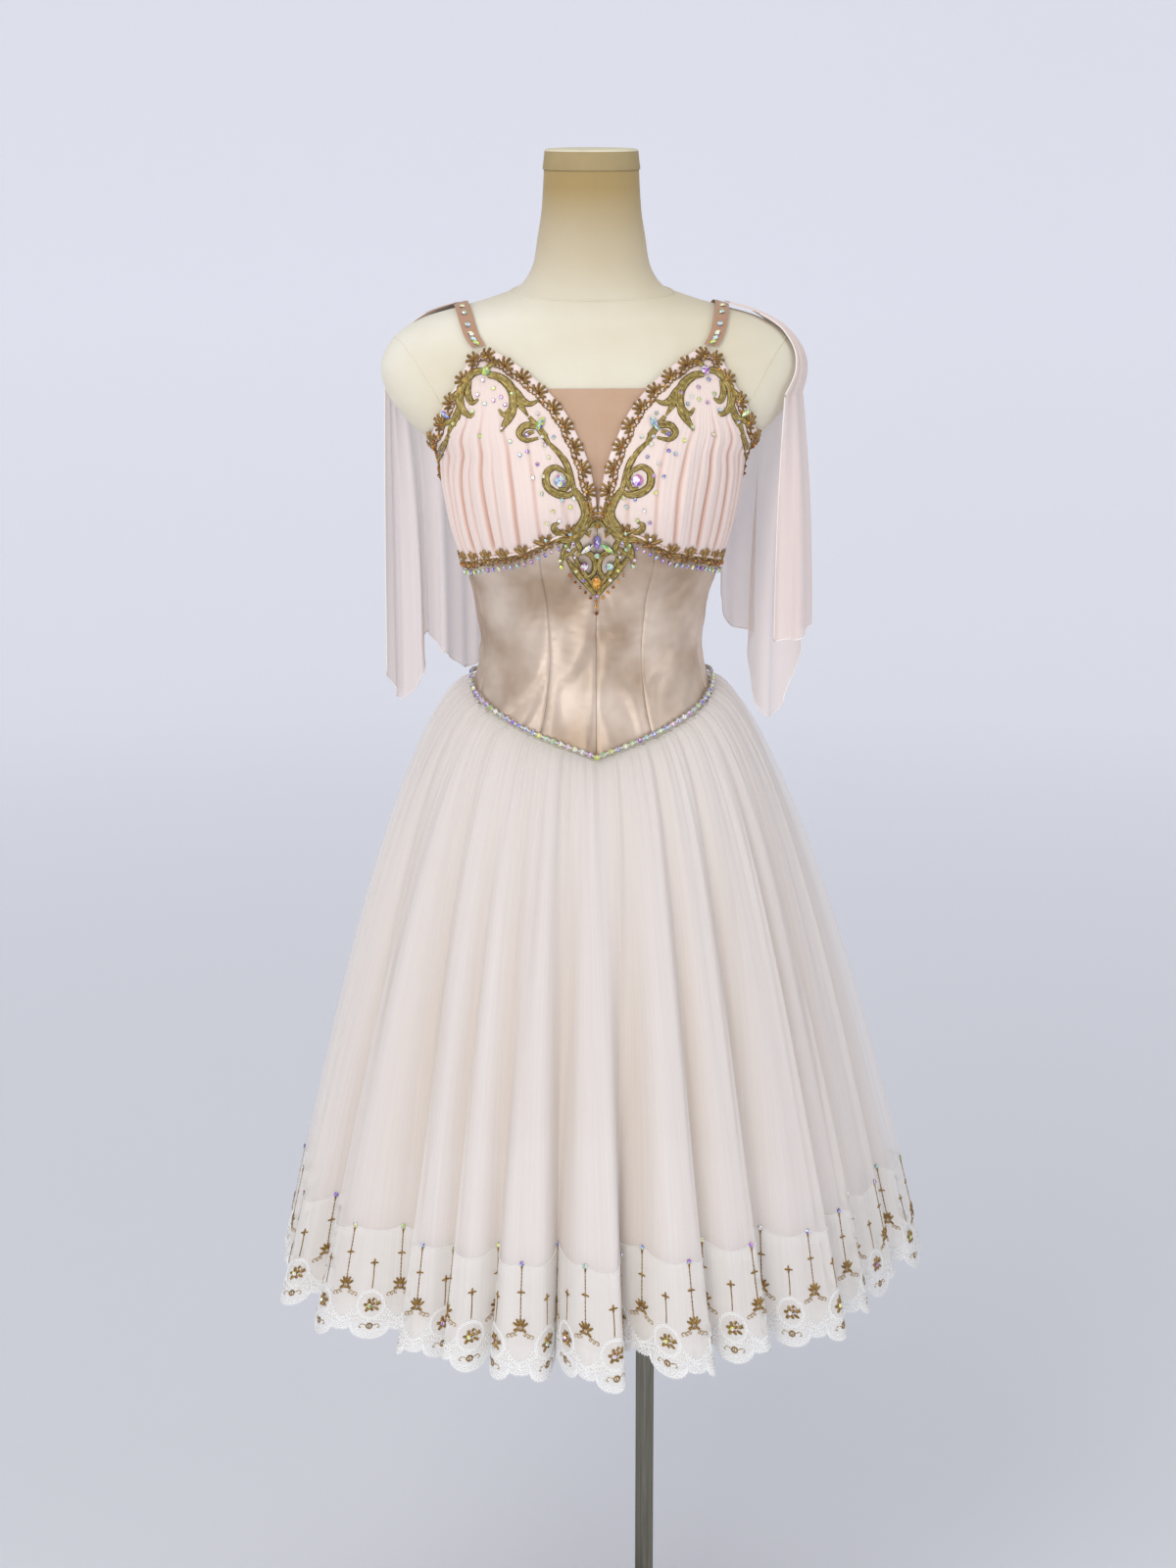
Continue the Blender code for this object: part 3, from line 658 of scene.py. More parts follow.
def build_cap():
    """The tan band round the top of the neck, with its pale lid: heights and shares of the neck."""
    angles = np.linspace(-180, 180, 121)
    profile = [(1.6108, 0.985), (1.6116, 1.025), (1.6124, 1.030), (1.6200, 1.015), (1.6290, 1.005)]
    lid = [(1.6290, 1.005), (1.6304, 0.995), (1.6310, 0.95), (1.6312, 0.6), (1.6312, 0.001)]
    for name, rows, look in (
        ("cap_band", profile, cap_cloth("cap_band", srgb(176, 156, 112))),
        ("cap_lid", lid, cap_cloth("cap_lid", srgb(232, 224, 196))),
    ):
        levels = np.array([row[0] for row in rows])
        swell = np.array([row[1] for row in rows])[:, None, None]
        ring = form_point(angles[None, :], levels[:, None])
        middle = ring.mean(axis=1, keepdims=True)
        add_on(shell(name, middle + (ring - middle) * swell, look))
    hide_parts("form_neck_cap")


def tube(points, radius, sides=6):
    """Points and faces of a round cord through a path of points."""
    points = np.asarray(points, float)
    along = unit(np.gradient(points, axis=0))
    side = unit(np.cross(along, (0.13, 0.21, 0.97)))
    up = np.cross(side, along)
    turn = np.linspace(0, 2 * np.pi, sides, endpoint=False)
    radius = np.broadcast_to(np.asarray(radius, float), len(points))
    ring = side[:, None] * np.cos(turn)[None, :, None] + up[:, None] * np.sin(turn)[None, :, None]
    surface = points[:, None] + ring * radius[:, None, None]
    index = np.arange(len(points) * sides).reshape(len(points), sides)
    beside = np.roll(index, -1, axis=1)
    quads = np.stack([index[:-1], beside[:-1], beside[1:], index[1:]], axis=-1).reshape(-1, 4)
    return surface.reshape(-1, 3), quads


def joined(parts):
    """Several (points, faces) as one."""
    starts = np.cumsum([0] + [len(points) for points, _ in parts])
    faces = [faces + start for (_, faces), start in zip(parts, starts)]
    return np.concatenate([points for points, _ in parts]), np.concatenate(faces)


def build_form_seams(look):
    """The sewn seams of the canvas: round the neck and round each shoulder cap."""
    turn = np.linspace(-180, 180, 121)
    neck = form_point(turn, 1.4965 - 0.0065 * np.cos(np.radians(turn)))
    parts = [tube(neck, 0.0009)]
    sweep = np.linspace(-1, 1, 60)
    for sign in (-1, 1):
        x = 0.193 - 0.058 * np.abs(sweep) ** 1.5
        turn = np.radians(sweep * 118)
        direction = np.stack([0 * turn, np.sin(turn), np.cos(turn)], axis=-1)
        start = np.stack([x, 0 * x, 0 * x + 1.405], axis=-1)
        path = surface_along(start, direction) * (sign, 1, 1)
        parts.append(tube(path, 0.0007))
    add_on(solid("form_seams", *joined(parts), look))


# ---------------------------------------------------------------- bodice and cups


def build_bodice():
    # Painted highlight and shade: the first colour is the satin's lit tone, the second its shaded tone.
    look = satin("satin", srgb(221, 203, 185), srgb(176, 151, 126), 0.40, 0.50)
    for number, panel in enumerate(BODICE_PANELS):
        columns = max(12, round((panel.end - panel.start) * 1.1))
        rows = 100
        angles = np.linspace(panel.start + 0.05, panel.end - 0.05, columns)
        low = waist_height(angles) - 0.0025
        high = of_table(panel.top_edge, "angle", "height", angles)
        up = np.linspace(0, 1, rows)[:, None]
        heights = low + (high - low) * up
        spread = np.broadcast_to(angles[None, :], heights.shape)
        place = form_point(spread, heights)
        arc = np.cumsum(np.linalg.norm(np.diff(place, axis=1, prepend=place[:, :1]), axis=2), axis=1)
        to_seam = np.minimum(arc, arc[:, -1:] - arc)
        seam_dip = 0.0011 * np.exp(-((to_seam / 0.0011) ** 2))
        for side, sign in SIDES:
            crumple = waves(11 + number * 2 + sign, 5, 0.034, 0.090)
            fine = waves(31 + number * 2 + sign, 6, 0.008, 0.020)
            calm = np.clip(to_seam / 0.010, 0, 1)
            slant = (arc * 0.85 - sign * heights * 0.55) / 0.058 + number * 0.37
            drag = np.sin(2 * np.pi * slant + crumple(arc, heights))
            lift = CLOTH_LIFT + (0.0012 * crumple(arc * 1.2, heights) + 0.0010 * drag) * calm
            lift = lift + 0.00012 * fine(arc * 0.6, heights * 1.5) * calm
            puckers = np.sin(heights * 2 * np.pi / 0.0075 + 3 * crumple(arc, heights * 3))
            lift = lift + 0.00016 * puckers * np.exp(-((to_seam - 0.003) / 0.004) ** 2)
            points = lifted(spread, heights, np.maximum(lift, 0.0018) - seam_dip)
            if sign < 0:
                points = mirrored(points)
            made = shell(f"{panel.name}_{side}_satin", points, look)
            cloth_piece(made, [f"{panel.name}_{side}"])


def half_width(height):
    """Half the form's width at each height."""
    return form_point(np.full(np.shape(height), 90.0), np.asarray(height, float))[..., 0]


def unrolled(path):
    """Angles and heights as distances round the form and heights."""
    return np.stack([path[..., 0] * half_width(path[..., 1]), path[..., 1]], axis=-1)


def cup_patch(columns, rows):
    """Angles and heights of the cup's grid, between neckline, armhole and underbust line.

    Its lines run straight over the unrolled form from the underbust line to the strap, and bend
    to meet the neckline and the armhole."""
    gap = 0.0022
    inner = edge_path(neckline_rows(), rows)
    side = [(SIDE_SEAM_ANGLE, of_table(UNDERBUST, "angle", "height", SIDE_SEAM_ANGLE) + gap)]
    outer = edge_path(side + armhole_rows(), rows)
    angle = np.linspace(inner[0, 0], outer[0, 0], columns)
    bottom = unrolled(np.stack([angle, of_table(UNDERBUST, "angle", "height", angle) + gap], axis=-1))
    inner, outer = unrolled(inner), unrolled(outer)
    share = np.linspace(0, 1, columns)[None, :, None]
    up = np.linspace(0, 1, rows)[:, None]
    soft_inner = inner[0] + (inner[-1] - inner[0]) * up
    soft_outer = outer[0] + (outer[-1] - outer[0]) * up
    grid = soft_inner[:, None] + (soft_outer - soft_inner)[:, None] * share
    grid = grid + (inner - soft_inner)[:, None] * (1 - share) ** 1.8
    grid = grid + (outer - soft_outer)[:, None] * share**1.8
    straight = inner[0] + (outer[0] - inner[0]) * share[0]
    grid = grid + (1 - up[:, None]) * (bottom - straight)[None]
    grid[..., 0] /= half_width(grid[..., 1])
    return grid


# The gathers of one cup, from the neckline (0) to the armhole (1): place at the foot, drift of
# the place towards the top, how far up it reaches, depth and width.
Gather = namedtuple("Gather", "place drift reach depth width")
CUP_GATHERS = [
    Gather(0.10, 0.00, 0.45, 0.0010, 0.010),
    Gather(0.22, 0.01, 0.62, 0.0016, 0.009),
    Gather(0.33, 0.00, 0.70, 0.0026, 0.011),
    Gather(0.43, -0.02, 0.66, 0.0014, 0.008),
    Gather(0.50, -0.02, 0.76, 0.0032, 0.012),
    Gather(0.59, -0.03, 0.68, 0.0016, 0.009),
    Gather(0.67, -0.05, 0.80, 0.0034, 0.013),
    Gather(0.75, -0.05, 0.62, 0.0020, 0.010),
    Gather(0.82, -0.06, 0.74, 0.0030, 0.012),
    Gather(0.90, -0.05, 0.60, 0.0022, 0.010),
    Gather(0.95, -0.03, 0.50, 0.0014, 0.008),
]


def gathers(place, up):
    """The lift of the gathered chiffon and how deep in a fold each point lies, for the painted shade in the
    pleats.
    """
    lift = 0 * place * up
    fold = 0 * lift
    for number, gather in enumerate(CUP_GATHERS):
        middle = gather.place + gather.drift * up + 0.006 * np.sin(9 * up + number)
        strength = np.clip((gather.reach - up) / 0.30, 0, 1) * np.clip(up / 0.05, 0.35, 1)
        width = gather.width * (1.0 - 0.35 * up)
        away = (place - middle) / width
        crease = np.exp(-(away**2))
        swell = np.exp(-(((place - middle - 3.0 * width) / (2.6 * width)) ** 2))
        lift = lift + strength * (0.55 * gather.depth * swell - gather.depth * crease)
        deepest = np.clip(1.25 * crease - 0.1, 0, 1) * gather.depth / 0.0034
        # Painted shade in the pleats' valleys, weaker towards the top of the cup.
        fold = np.maximum(fold, strength * deepest * np.clip(1.25 - 1.1 * up, 0.2, 1))
    return lift, fold


def build_cups():
    # The second colour is painted shade for the pleats' valleys.
    look = chiffon("cup_chiffon", srgb(242, 222, 212), srgb(206, 154, 128))
    columns, rows = 170, 90
    patch = cup_patch(columns, rows)
    place = np.linspace(0, 1, columns)[None, :]
    up = np.linspace(0, 1, rows)[:, None]
    for side, sign in SIDES:
        lift, fold = gathers(place + 0.012 * sign * np.sin(7 * up), up)
        pleats = 0.00025 * np.sin(2 * np.pi * 38 * place + 2 * np.sin(5 * up)) * (1 - 0.6 * up)
        base = CLOTH_LIFT + 0.0022 * np.sin(np.pi * np.clip(up * 1.1, 0, 1))
        points = lifted(patch[..., 0], patch[..., 1], base + lift + pleats)
        if sign < 0:
            points, fold = mirrored(points), fold[:, ::-1]
        made = shell(f"cup_{side}_chiffon", points, look, fold=fold)
        cloth_piece(made, [f"cup_{side}"])


def build_mesh_insert():
    look = plain_cloth("nude_mesh", srgb(205, 172, 145), srgb(192, 156, 128), 0.8, 1500)
    heights = np.linspace(1.3000, 1.4092, 60)
    reach = of_table(NECKLINE, "height", "x", heights) + 0.004
    x = reach[:, None] * np.linspace(-1, 1, 61)[None, :]
    levels = np.broadcast_to(heights[:, None], x.shape)
    top_hem = 0.0005 * (levels > 1.4035)
    points = lifted(angle_at(x, levels), levels, 0.0018 + top_hem)
    made = shell("mesh_insert_net", points, look)
    cloth_piece(made, ["mesh_insert"])


def path_frames(path, lift, sign=1):
    """Points, tangents, sideways directions (towards the cup's inside) and normals of a path."""
    points = lifted(path[:, 0], path[:, 1], lift)
    normals = form_normal(path[:, 0], path[:, 1])
    along = unit(np.gradient(points, axis=0))
    side = unit(np.cross(normals, along))
    return [item * (sign, 1, 1) for item in (points, along, side, normals)]


def binding_strip(path, inner, outer, lift, sign):
    """A narrow rounded band beside a path."""
    points, _, side, normals = path_frames(path, lift, sign)
    across = np.linspace(inner, outer, 9)
    crown = 0.0009 * np.sqrt(np.clip(1 - np.linspace(-1, 1, 9) ** 2, 0, 1)) + 0.0001
    strip = points[None] + side[None] * across[:, None, None] + normals[None] * crown[:, None, None]
    return strip


def build_bindings():
    # Painted highlight and shade tones for the pink satin, close together.
    look = satin("pink_satin", srgb(244, 226, 220), srgb(236, 212, 204), 0.42)
    down_neckline = edge_path(neckline_rows(), 90, 0.0, 0.985)[::-1]
    armhole = edge_path(armhole_rows()[::-1], 70, 0.02, 1.0)
    back = edge_path(BACK_TOP, 80, 0.0, 0.998)
    arm_and_back = np.concatenate([armhole[:-1], back])
    for side, sign in SIDES:
        for name, path, inner, outer in (
            ("neckline_binding", down_neckline, -0.0008, 0.0056),
            ("armhole_binding", arm_and_back, -0.0056, 0.0008),
        ):
            strip = binding_strip(path, inner, outer, TRIM_LIFT - 0.0004, sign)
            if sign < 0:
                strip = strip[::-1]
            made = shell(f"{name}_{side}_satin", strip, look)
            cloth_piece(made, [f"{name}_{side}"])
        build_piping(side, sign, look)


def build_piping(side, sign, look):
    path = edge_path(UNDERBUST, 90, 0.05, 1.0)
    points = lifted(path[:, 0], path[:, 1] + 0.0011, CLOTH_LIFT + 0.0012) * (sign, 1, 1)
    made = add_on(solid(f"underbust_piping_{side}_cord", *tube(points, 0.0014, 8), look))
    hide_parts(f"underbust_piping_{side}")


def strap_points(across, along):
    """Points of the right strap: across runs -1 to 1, along 0 to 1 from the cup to the back."""
    keys = np.linspace(0, 1, len(STRAP_PATH))
    x = eased(keys, [station.x for station in STRAP_PATH], along)[:, None]
    turn = np.radians(eased(keys, [station.angle for station in STRAP_PATH], along))
    x = x + across[None, :] * STRAP_WIDTH / 2
    direction = np.stack([0 * turn, np.sin(turn), np.cos(turn)], axis=-1)[:, None] + 0 * x[..., None]
    start = np.stack([x, 0 * x, 0 * x + SHOULDER_LINE_HEIGHT], axis=-1)
    return surface_along(start, direction)


def build_straps():
    look = plain_cloth("strap_elastic", srgb(190, 150, 122), srgb(176, 134, 106), 0.75, 1800)
    along = np.linspace(0, 1, 120)
    across = np.linspace(-1, 1, 15)
    edge = 0.0004 * np.exp(-(((np.abs(across) - 0.86) / 0.07) ** 2))
    lift = 0.0034 + 0.0004 * (1 - across**8) - edge
    for side, sign in SIDES:
        points = onto_form(strap_points(across, along), lift[None, :])
        if sign < 0:
            points = mirrored(points)
        made = shell(f"strap_{side}_band", points, look)
        cloth_piece(made, [f"strap_{side}"])


# ---------------------------------------------------------------- ribbons, cords and stones


def flowing(points, count):
    """A smooth curve through a few points, as count points."""
    points = np.asarray(points, float)
    before = 2 * points[0] - points[1]
    after = 2 * points[-1] - points[-2]
    padded = np.concatenate([[before], points, [after]])
    place = np.linspace(0, len(points) - 1, count)
    index = np.minimum(place.astype(int), len(points) - 2)
    t = (place - index)[:, None]
    a, b, c, d = (padded[index + step] for step in range(4))
    straight = 2 * b + (c - a) * t
    return 0.5 * (straight + (2 * a - 5 * b + 4 * c - d) * t**2 + (3 * b - a - 3 * c + d) * t**3)


def closed_ring(centre, radius_x, radius_y, sweep=360.0, count=9):
    """A few points round an oval, for flowing."""
    angle = np.radians(np.linspace(0, sweep, count))
    return np.stack([centre[0] + radius_x * np.cos(angle), centre[1] + radius_y * np.sin(angle)], axis=-1)


# Cross sections of a worked line: place across from -1 to 1, and height as a share.
ROUND = np.array([(-1.0, -0.35), (-0.72, 0.65), (0.0, 1.0), (0.72, 0.65), (1.0, -0.35)])
RIDGED = np.array(
    [(-1, -0.3), (-0.82, 0.72), (-0.45, 1.0), (0, 0.55), (0.45, 1.0), (0.82, 0.72), (1, -0.3)]
)
FLAT = np.array([(-1.0, 0.0), (0.0, 1.0), (1.0, 0.0)])

# One worked line: its points in millimetres, its widest width, the share of the width at its
# start and end, and the waves of width along it, as in a dotted line.
Stroke = namedtuple("Stroke", "points width start end dots", defaults=(0.6, 0.6, 0))


def worked(stroke, section=ROUND, height=0.5, spacing=0.9):
    """A stroke's grid in metres, (rows, across, 3) of x, y and rise, and its cloth coordinates.

    The height is a share of its width, and the spacing of its rows is in millimetres."""
    rough = flowing(stroke.points, 40)
    length = np.linalg.norm(np.diff(rough, axis=0), axis=1).sum()
    count = int(np.clip(length / spacing, 3, 400))
    middle = flowing(stroke.points, count)
    along = unit(np.gradient(middle, axis=0))
    side = np.stack([along[:, 1], -along[:, 0]], axis=-1)
    share = np.linspace(0, 1, count)
    swell = np.minimum(1, stroke.start + (1 - stroke.start) * share / 0.3)
    swell = swell * np.minimum(1, stroke.end + (1 - stroke.end) * (1 - share) / 0.45)
    if stroke.dots:
        swell = swell * (0.62 + 0.38 * np.sin(2 * np.pi * stroke.dots * share))
    half = stroke.width * swell / 2
    flat = middle[:, None] + side[:, None] * half[:, None, None] * section[None, :, :1]
    tall = height * stroke.width * np.maximum(swell, 0.35)[:, None] * section[None, :, 1]
    grid = np.concatenate([flat, tall[..., None]], axis=-1)
    distance = np.linspace(0, length, count)[:, None]
    uv = np.stack(np.broadcast_arrays(section[None, :, 0] * stroke.width / 2, distance), axis=-1)
    return grid / 1000, uv / 1000


def gem(sides, table):
    """A faceted stone of radius and height 1, with a table of a smaller radius: its points and
    triangles."""
    turn = np.linspace(0, 2 * np.pi, sides, endpoint=False)
    half = turn + np.pi / sides
    low = np.stack([np.cos(turn), np.sin(turn), 0 * turn], axis=-1)
    middle = np.stack([np.cos(turn), np.sin(turn), 0 * turn + 0.30], axis=-1)
    upper = np.stack([table * np.cos(half), table * np.sin(half), 0 * turn + 1], axis=-1)
    points = np.concatenate([low, middle, upper, [[0, 0, 1.0]]])
    one = np.arange(sides)
    two = (one + 1) % sides
    faces = [
        np.stack([one, two, sides + two], axis=-1),
        np.stack([one, sides + two, sides + one], axis=-1),
        np.stack([sides + one, sides + two, 2 * sides + one], axis=-1),
        np.stack([sides + two, 2 * sides + two, 2 * sides + one], axis=-1),
        np.stack([2 * sides + one, 2 * sides + two, one * 0 + 3 * sides], axis=-1),
    ]
    return points, np.concatenate(faces)


def bead():
    """A ball of radius 1 standing on its base: its points and triangles."""
    sides, rings = 8, 5
    rise = np.radians(np.linspace(-70, 90, rings))
    turn = np.linspace(0, 2 * np.pi, sides, endpoint=False)
    points = np.stack(
        [
            np.cos(rise)[:, None] * np.cos(turn),
            np.cos(rise)[:, None] * np.sin(turn),
            np.sin(rise)[:, None] + 0 * turn + 0.9,
        ],
        axis=-1,
    ).reshape(-1, 3)
    index = np.arange(rings * sides).reshape(rings, sides)
    beside = np.roll(index, -1, axis=1)
    first = np.stack([index[:-1], beside[:-1], beside[1:]], axis=-1).reshape(-1, 3)
    second = np.stack([index[:-1], beside[1:], index[1:]], axis=-1).reshape(-1, 3)
    return points, np.concatenate([first, second])


# Stones of one design: place, half sizes across and along, height and turn in degrees.
Stone = namedtuple("Stone", "x y wide long tall turn", defaults=(0.0,))


def stones(name, template, frames, sizes, look, seed, smooth=False):
    """One mesh of many stones. Frames are (place, sideways, up the design, out)."""
    points, faces = template
    place, side, along, out = frames
    sizes = np.asarray(sizes, float)
    spread = (
        place[:, None]
        + side[:, None] * (points[None, :, :1] * sizes[:, None, :1])
        + along[:, None] * (points[None, :, 1:2] * sizes[:, None, 1:2])
        + out[:, None] * (points[None, :, 2:] * sizes[:, None, 2:3])
    )
    start = (np.arange(len(place)) * len(points))[:, None, None]
    every = (faces[None] + start).reshape(-1, 3)
    made = solid(name, spread.reshape(-1, 3), every, look, smooth)
    shade = made.data.attributes.new("facet", "FLOAT", "FACE")
    pick = np.random.default_rng(seed)
    several = (len(place), len(faces))
    tone = pick.uniform(0.08, 0.80, (len(place), 1)) + pick.uniform(-0.09, 0.09, several)
    tone = np.where(pick.uniform(0, 1, several) < 0.24, pick.uniform(0, 1, several), tone)
    tone[:, points[faces, 2].max(axis=1) < 0.5] = 0.87
    shade.data.foreach_set("value", (tone % 1.0).reshape(-1))
    return made


def aurora(name, warm=False):
    """Faceted crystal with its rainbow coating, or amber crystal."""
    look = Shader(name, 0.10, 0.30)
    look.set(Specular_IOR_Level=0.6, Coat_Weight=0.35, Coat_Roughness=0.04)
    facet = look.attribute("facet")
    if warm:
        stops = [
            (0.0, srgb(128, 66, 12)),
            (0.35, srgb(196, 112, 24)),
            (0.65, srgb(240, 180, 74)),
            (0.9, srgb(255, 232, 168)),
        ]
    else:
        stops = [
            (0.0, srgb(250, 251, 252)),
            (0.15, srgb(246, 246, 130)),
            (0.22, srgb(214, 222, 96)),
            (0.32, srgb(134, 196, 120)),
            (0.38, srgb(206, 230, 224)),
            (0.48, srgb(140, 160, 226)),
            (0.55, srgb(140, 96, 200)),
            (0.64, srgb(224, 140, 200)),
            (0.71, srgb(240, 238, 238)),
            (0.86, srgb(54, 58, 50)),
            (0.90, srgb(255, 255, 250)),
        ]
    colour = look.ramp(facet, stops)
    colour.node.color_ramp.interpolation = "CONSTANT"
    look.link(colour, "Base Color")
    look.link(look.range(look.noise(look.coordinates(), 3000.0), 0.3, 0.7, 0.05, 0.14), "Roughness")
    return look.material


def gold_thread(name, light, middle, dark, metal=0.4):
    """Metallic embroidery: fine threads along each worked line, with painted highlight on the threads and
    painted shade in their gaps.
    """
    look = Shader(name, 0.46, metal)
    thread = look.stretched_noise((5200, 520, 1), 2.0, 0.6)
    strands = look.stretched_noise((1100, 110, 1))
    coarse = look.blend(strands, 0.62, look.noise(look.coordinates(), 260.0), 0.38)
    both = look.blend(thread, 0.35, coarse, 0.65)
    # Painted highlight and shade: the ramp runs from a shaded tone (dark) through the thread's own tone
    # (middle) to a highlight tone (light).
    look.link(look.ramp(both, [(0.38, dark), (0.50, middle), (0.60, light)]), "Base Color")
    look.link(look.range(thread, 0.3, 0.7, 0.56, 0.38), "Roughness")
    look.bump(thread, 0.00022, 0.9)
    return look.material


def white_thread():
    look = Shader("white_thread", 0.6)
    thread = look.stretched_noise((4200, 900, 1), 2.0, 0.6)
    look.link(look.ramp(thread, [(0.3, srgb(228, 225, 218)), (0.6, srgb(255, 255, 253))]), "Base Color")
    look.bump(thread, 0.0002, 0.8)
    look.sheen(0.4, 0.4)
    return look.material


def highest_near(values, reach):
    """The highest value within a few places of each."""
    padded = np.pad(values, reach, mode="edge")
    return np.max([padded[step : step + len(values)] for step in range(2 * reach + 1)], axis=0)


class Ground:
    """The dress's front as ornaments meet it: they lie on its outermost cloth."""

    def __init__(self, pieces):
        parts = []
        for piece in pieces:
            mesh = piece.data
            places = np.empty(len(mesh.vertices) * 3)
            mesh.vertices.foreach_get("co", places)
            corners = np.empty(len(mesh.loops), np.int32)
            mesh.loops.foreach_get("vertex_index", corners)
            parts.append((places.reshape(-1, 3), corners.reshape(-1, 4)))
        points, faces = joined(parts)
        self.tree = BVHTree.FromPolygons(points.tolist(), faces.tolist())

    def lift(self, base, normal):
        """How far the outermost cloth stands off the form at each point, found from 30 mm out."""
        found = np.full(len(base), LEAST_LIFT)
        for index, (place, out) in enumerate(zip(base, normal)):
            hit = self.tree.ray_cast(Vector(place + out * 0.03), Vector(-out), 0.032)[0]
            if hit is not None:
                found[index] = max(LEAST_LIFT, float(np.dot(np.array(hit) - place, out)))
        return found

    def lay(self, grid, above):
        """A worked grid of (x, height, rise) laid on the cloth, as points in space."""
        x, height = grid[:, grid.shape[1] // 2, :2].T
        angle = angle_at(x, height)
        highest = highest_near(self.lift(form_point(angle, height), form_normal(angle, height)), 4)
        soft = np.convolve(np.pad(highest, 2, mode="edge"), np.full(5, 0.2), "valid")
        angle = angle_at(grid[..., 0], grid[..., 1])
        return lifted(angle, grid[..., 1], soft[:, None] + grid[..., 2] + above)

    def frames(self, x, height, turn, above):
        """Places and axes for stones at points of the front."""
        angle = angle_at(x, height)
        base, normal = form_point(angle, height), form_normal(angle, height)
        place = base + normal * (self.lift(base, normal) + above)[:, None]
        up = unit(form_point(angle, height + 0.002) - form_point(angle, height - 0.002))
        side = np.cross(up, normal)
        turn = np.radians(turn)[:, None]
        along = side * np.cos(turn) + up * np.sin(turn)
        return place, along, up * np.cos(turn) - side * np.sin(turn), normal


def flipped(strokes):
    return [stroke._replace(points=np.asarray(stroke.points, float) * (-1, 1)) for stroke in strokes]


def flip_stones(rows):
    return [row._replace(x=-row.x, turn=-row.turn) for row in rows]


# ---------------------------------------------------------------- the front's ornament

# Millimetres across from the dress's centre line and up from the floor, for the right side.
CUP_SCROLL = [
    Stroke([(30, 1270), (20, 1281), (13, 1294), (16, 1305), (24, 1318)], 5.6, 0.5, 0.7),
    Stroke([(24, 1268), (14, 1280), (8, 1293), (9, 1306)], 3.6, 0.5, 0.5),
    Stroke([(12, 1283), (22, 1272), (36, 1271), (53, 1272)], 5.0, 0.6, 0.25),
    Stroke([(24, 1279), (33, 1277), (41, 1280), (43, 1286), (38, 1288)], 3.6, 0.6, 0.3),
    Stroke([(27, 1272), (32, 1259), (35, 1245)], 4.2, 0.7, 0.3),
    Stroke([(22, 1270), (18, 1262), (19, 1254)], 3.4, 0.8, 0.4),
    Stroke([(24, 1316), (31, 1313), (41, 1315), (49, 1322), (49, 1333), (42, 1338), (34, 1335)], 4.4, 0.6),
    Stroke([(34, 1335), (29, 1329), (32, 1319), (39, 1319)], 3.2, 0.8, 0.4),
    Stroke([(24, 1316), (27, 1328), (31, 1341), (38, 1351), (46, 1359)], 3.6, 0.7, 0.6),
    Stroke([(46, 1358), (54, 1371), (64, 1383)], 3.4, 0.6, 0.6),
    Stroke([(48, 1366), (57, 1374), (68, 1375), (73, 1368), (67, 1362), (56, 1364)], 3.8, 0.5, 0.4),
    Stroke([(60, 1370), (66, 1368), (68, 1366)], 2.4, 0.7, 0.6),
    Stroke(
        [(102, 1421), (92, 1419), (82, 1411), (78, 1400), (80, 1390), (87, 1385), (92, 1390)],
        5.6,
        0.6,
        0.25,
    ),
    Stroke([(84, 1415), (76, 1406), (69, 1397), (62, 1395), (54, 1399)], 4.2, 0.5, 0.25),
    Stroke([(78, 1404), (72, 1394), (65, 1384)], 3.6, 0.5, 0.3),
    Stroke([(76, 1398), (80, 1386), (86, 1377), (90, 1370)], 4.4, 0.5, 0.25),
    Stroke(
        [(106, 1425), (117, 1422), (126, 1411), (129, 1400), (126, 1390), (119, 1384), (115, 1386)],
        5.2,
        0.6,
        0.25,
    ),
    Stroke([(119, 1415), (121, 1404), (117, 1396), (111, 1399)], 3.8, 0.5, 0.3),
    Stroke([(126, 1408), (133, 1401), (139, 1396)], 3.8, 0.5, 0.3),
    Stroke([(128, 1396), (131, 1384), (136, 1374), (140, 1364)], 4.4, 0.5, 0.3),
    Stroke([(133, 1380), (140, 1378), (146, 1372)], 3.2, 0.5, 0.3),
    Stroke([(138, 1366), (143, 1354), (145, 1340), (146, 1326)], 3.6, 0.6, 0.3),
    Stroke([(104, 1427), (96, 1432), (90, 1430)], 2.8, 0.6, 0.3),
]
MEDALLION = [
    Stroke([(30, 1252), (21, 1238), (14, 1229), (1.5, 1213)], 4.4, 0.5, 0.7),
    Stroke([(25, 1256), (17, 1243), (11, 1233), (3, 1221)], 2.8, 0.5, 0.6),
    Stroke(
        [(20, 1254), (14, 1257), (7, 1254), (2.6, 1247), (2.6, 1238), (7, 1232), (14, 1231)], 4.2, 0.5, 0.4
    ),
    Stroke([(19, 1252), (21, 1244), (17, 1236), (11, 1235)], 2.6, 0.6, 0.4),
    Stroke([(4, 1291), (9, 1286), (13, 1279), (10, 1275), (8, 1279)], 2.0, 0.6, 0.6),
    Stroke([(1, 1288), (5, 1285), (9, 1281)], 1.8, 0.6, 0.5),
    Stroke([(34, 1253), (27, 1257), (21, 1262)], 3.0, 0.4, 0.6),
]
MEDALLION_CENTRE = [
    Stroke([(0, 1281), (0, 1290)], 2.2, 0.8, 0.3),
    Stroke([(0, 1282), (-3.5, 1288)], 1.8, 0.8, 0.3),
    Stroke([(0, 1282), (3.5, 1288)], 1.8, 0.8, 0.3),
    Stroke([(0, 1281), (-6, 1284)], 1.6, 0.8, 0.3),
    Stroke([(0, 1281), (6, 1284)], 1.6, 0.8, 0.3),
    Stroke([(0, 1233), (-5, 1225), (0, 1217), (5, 1225), (0, 1233)], 1.6, 1.0, 1.0),
]
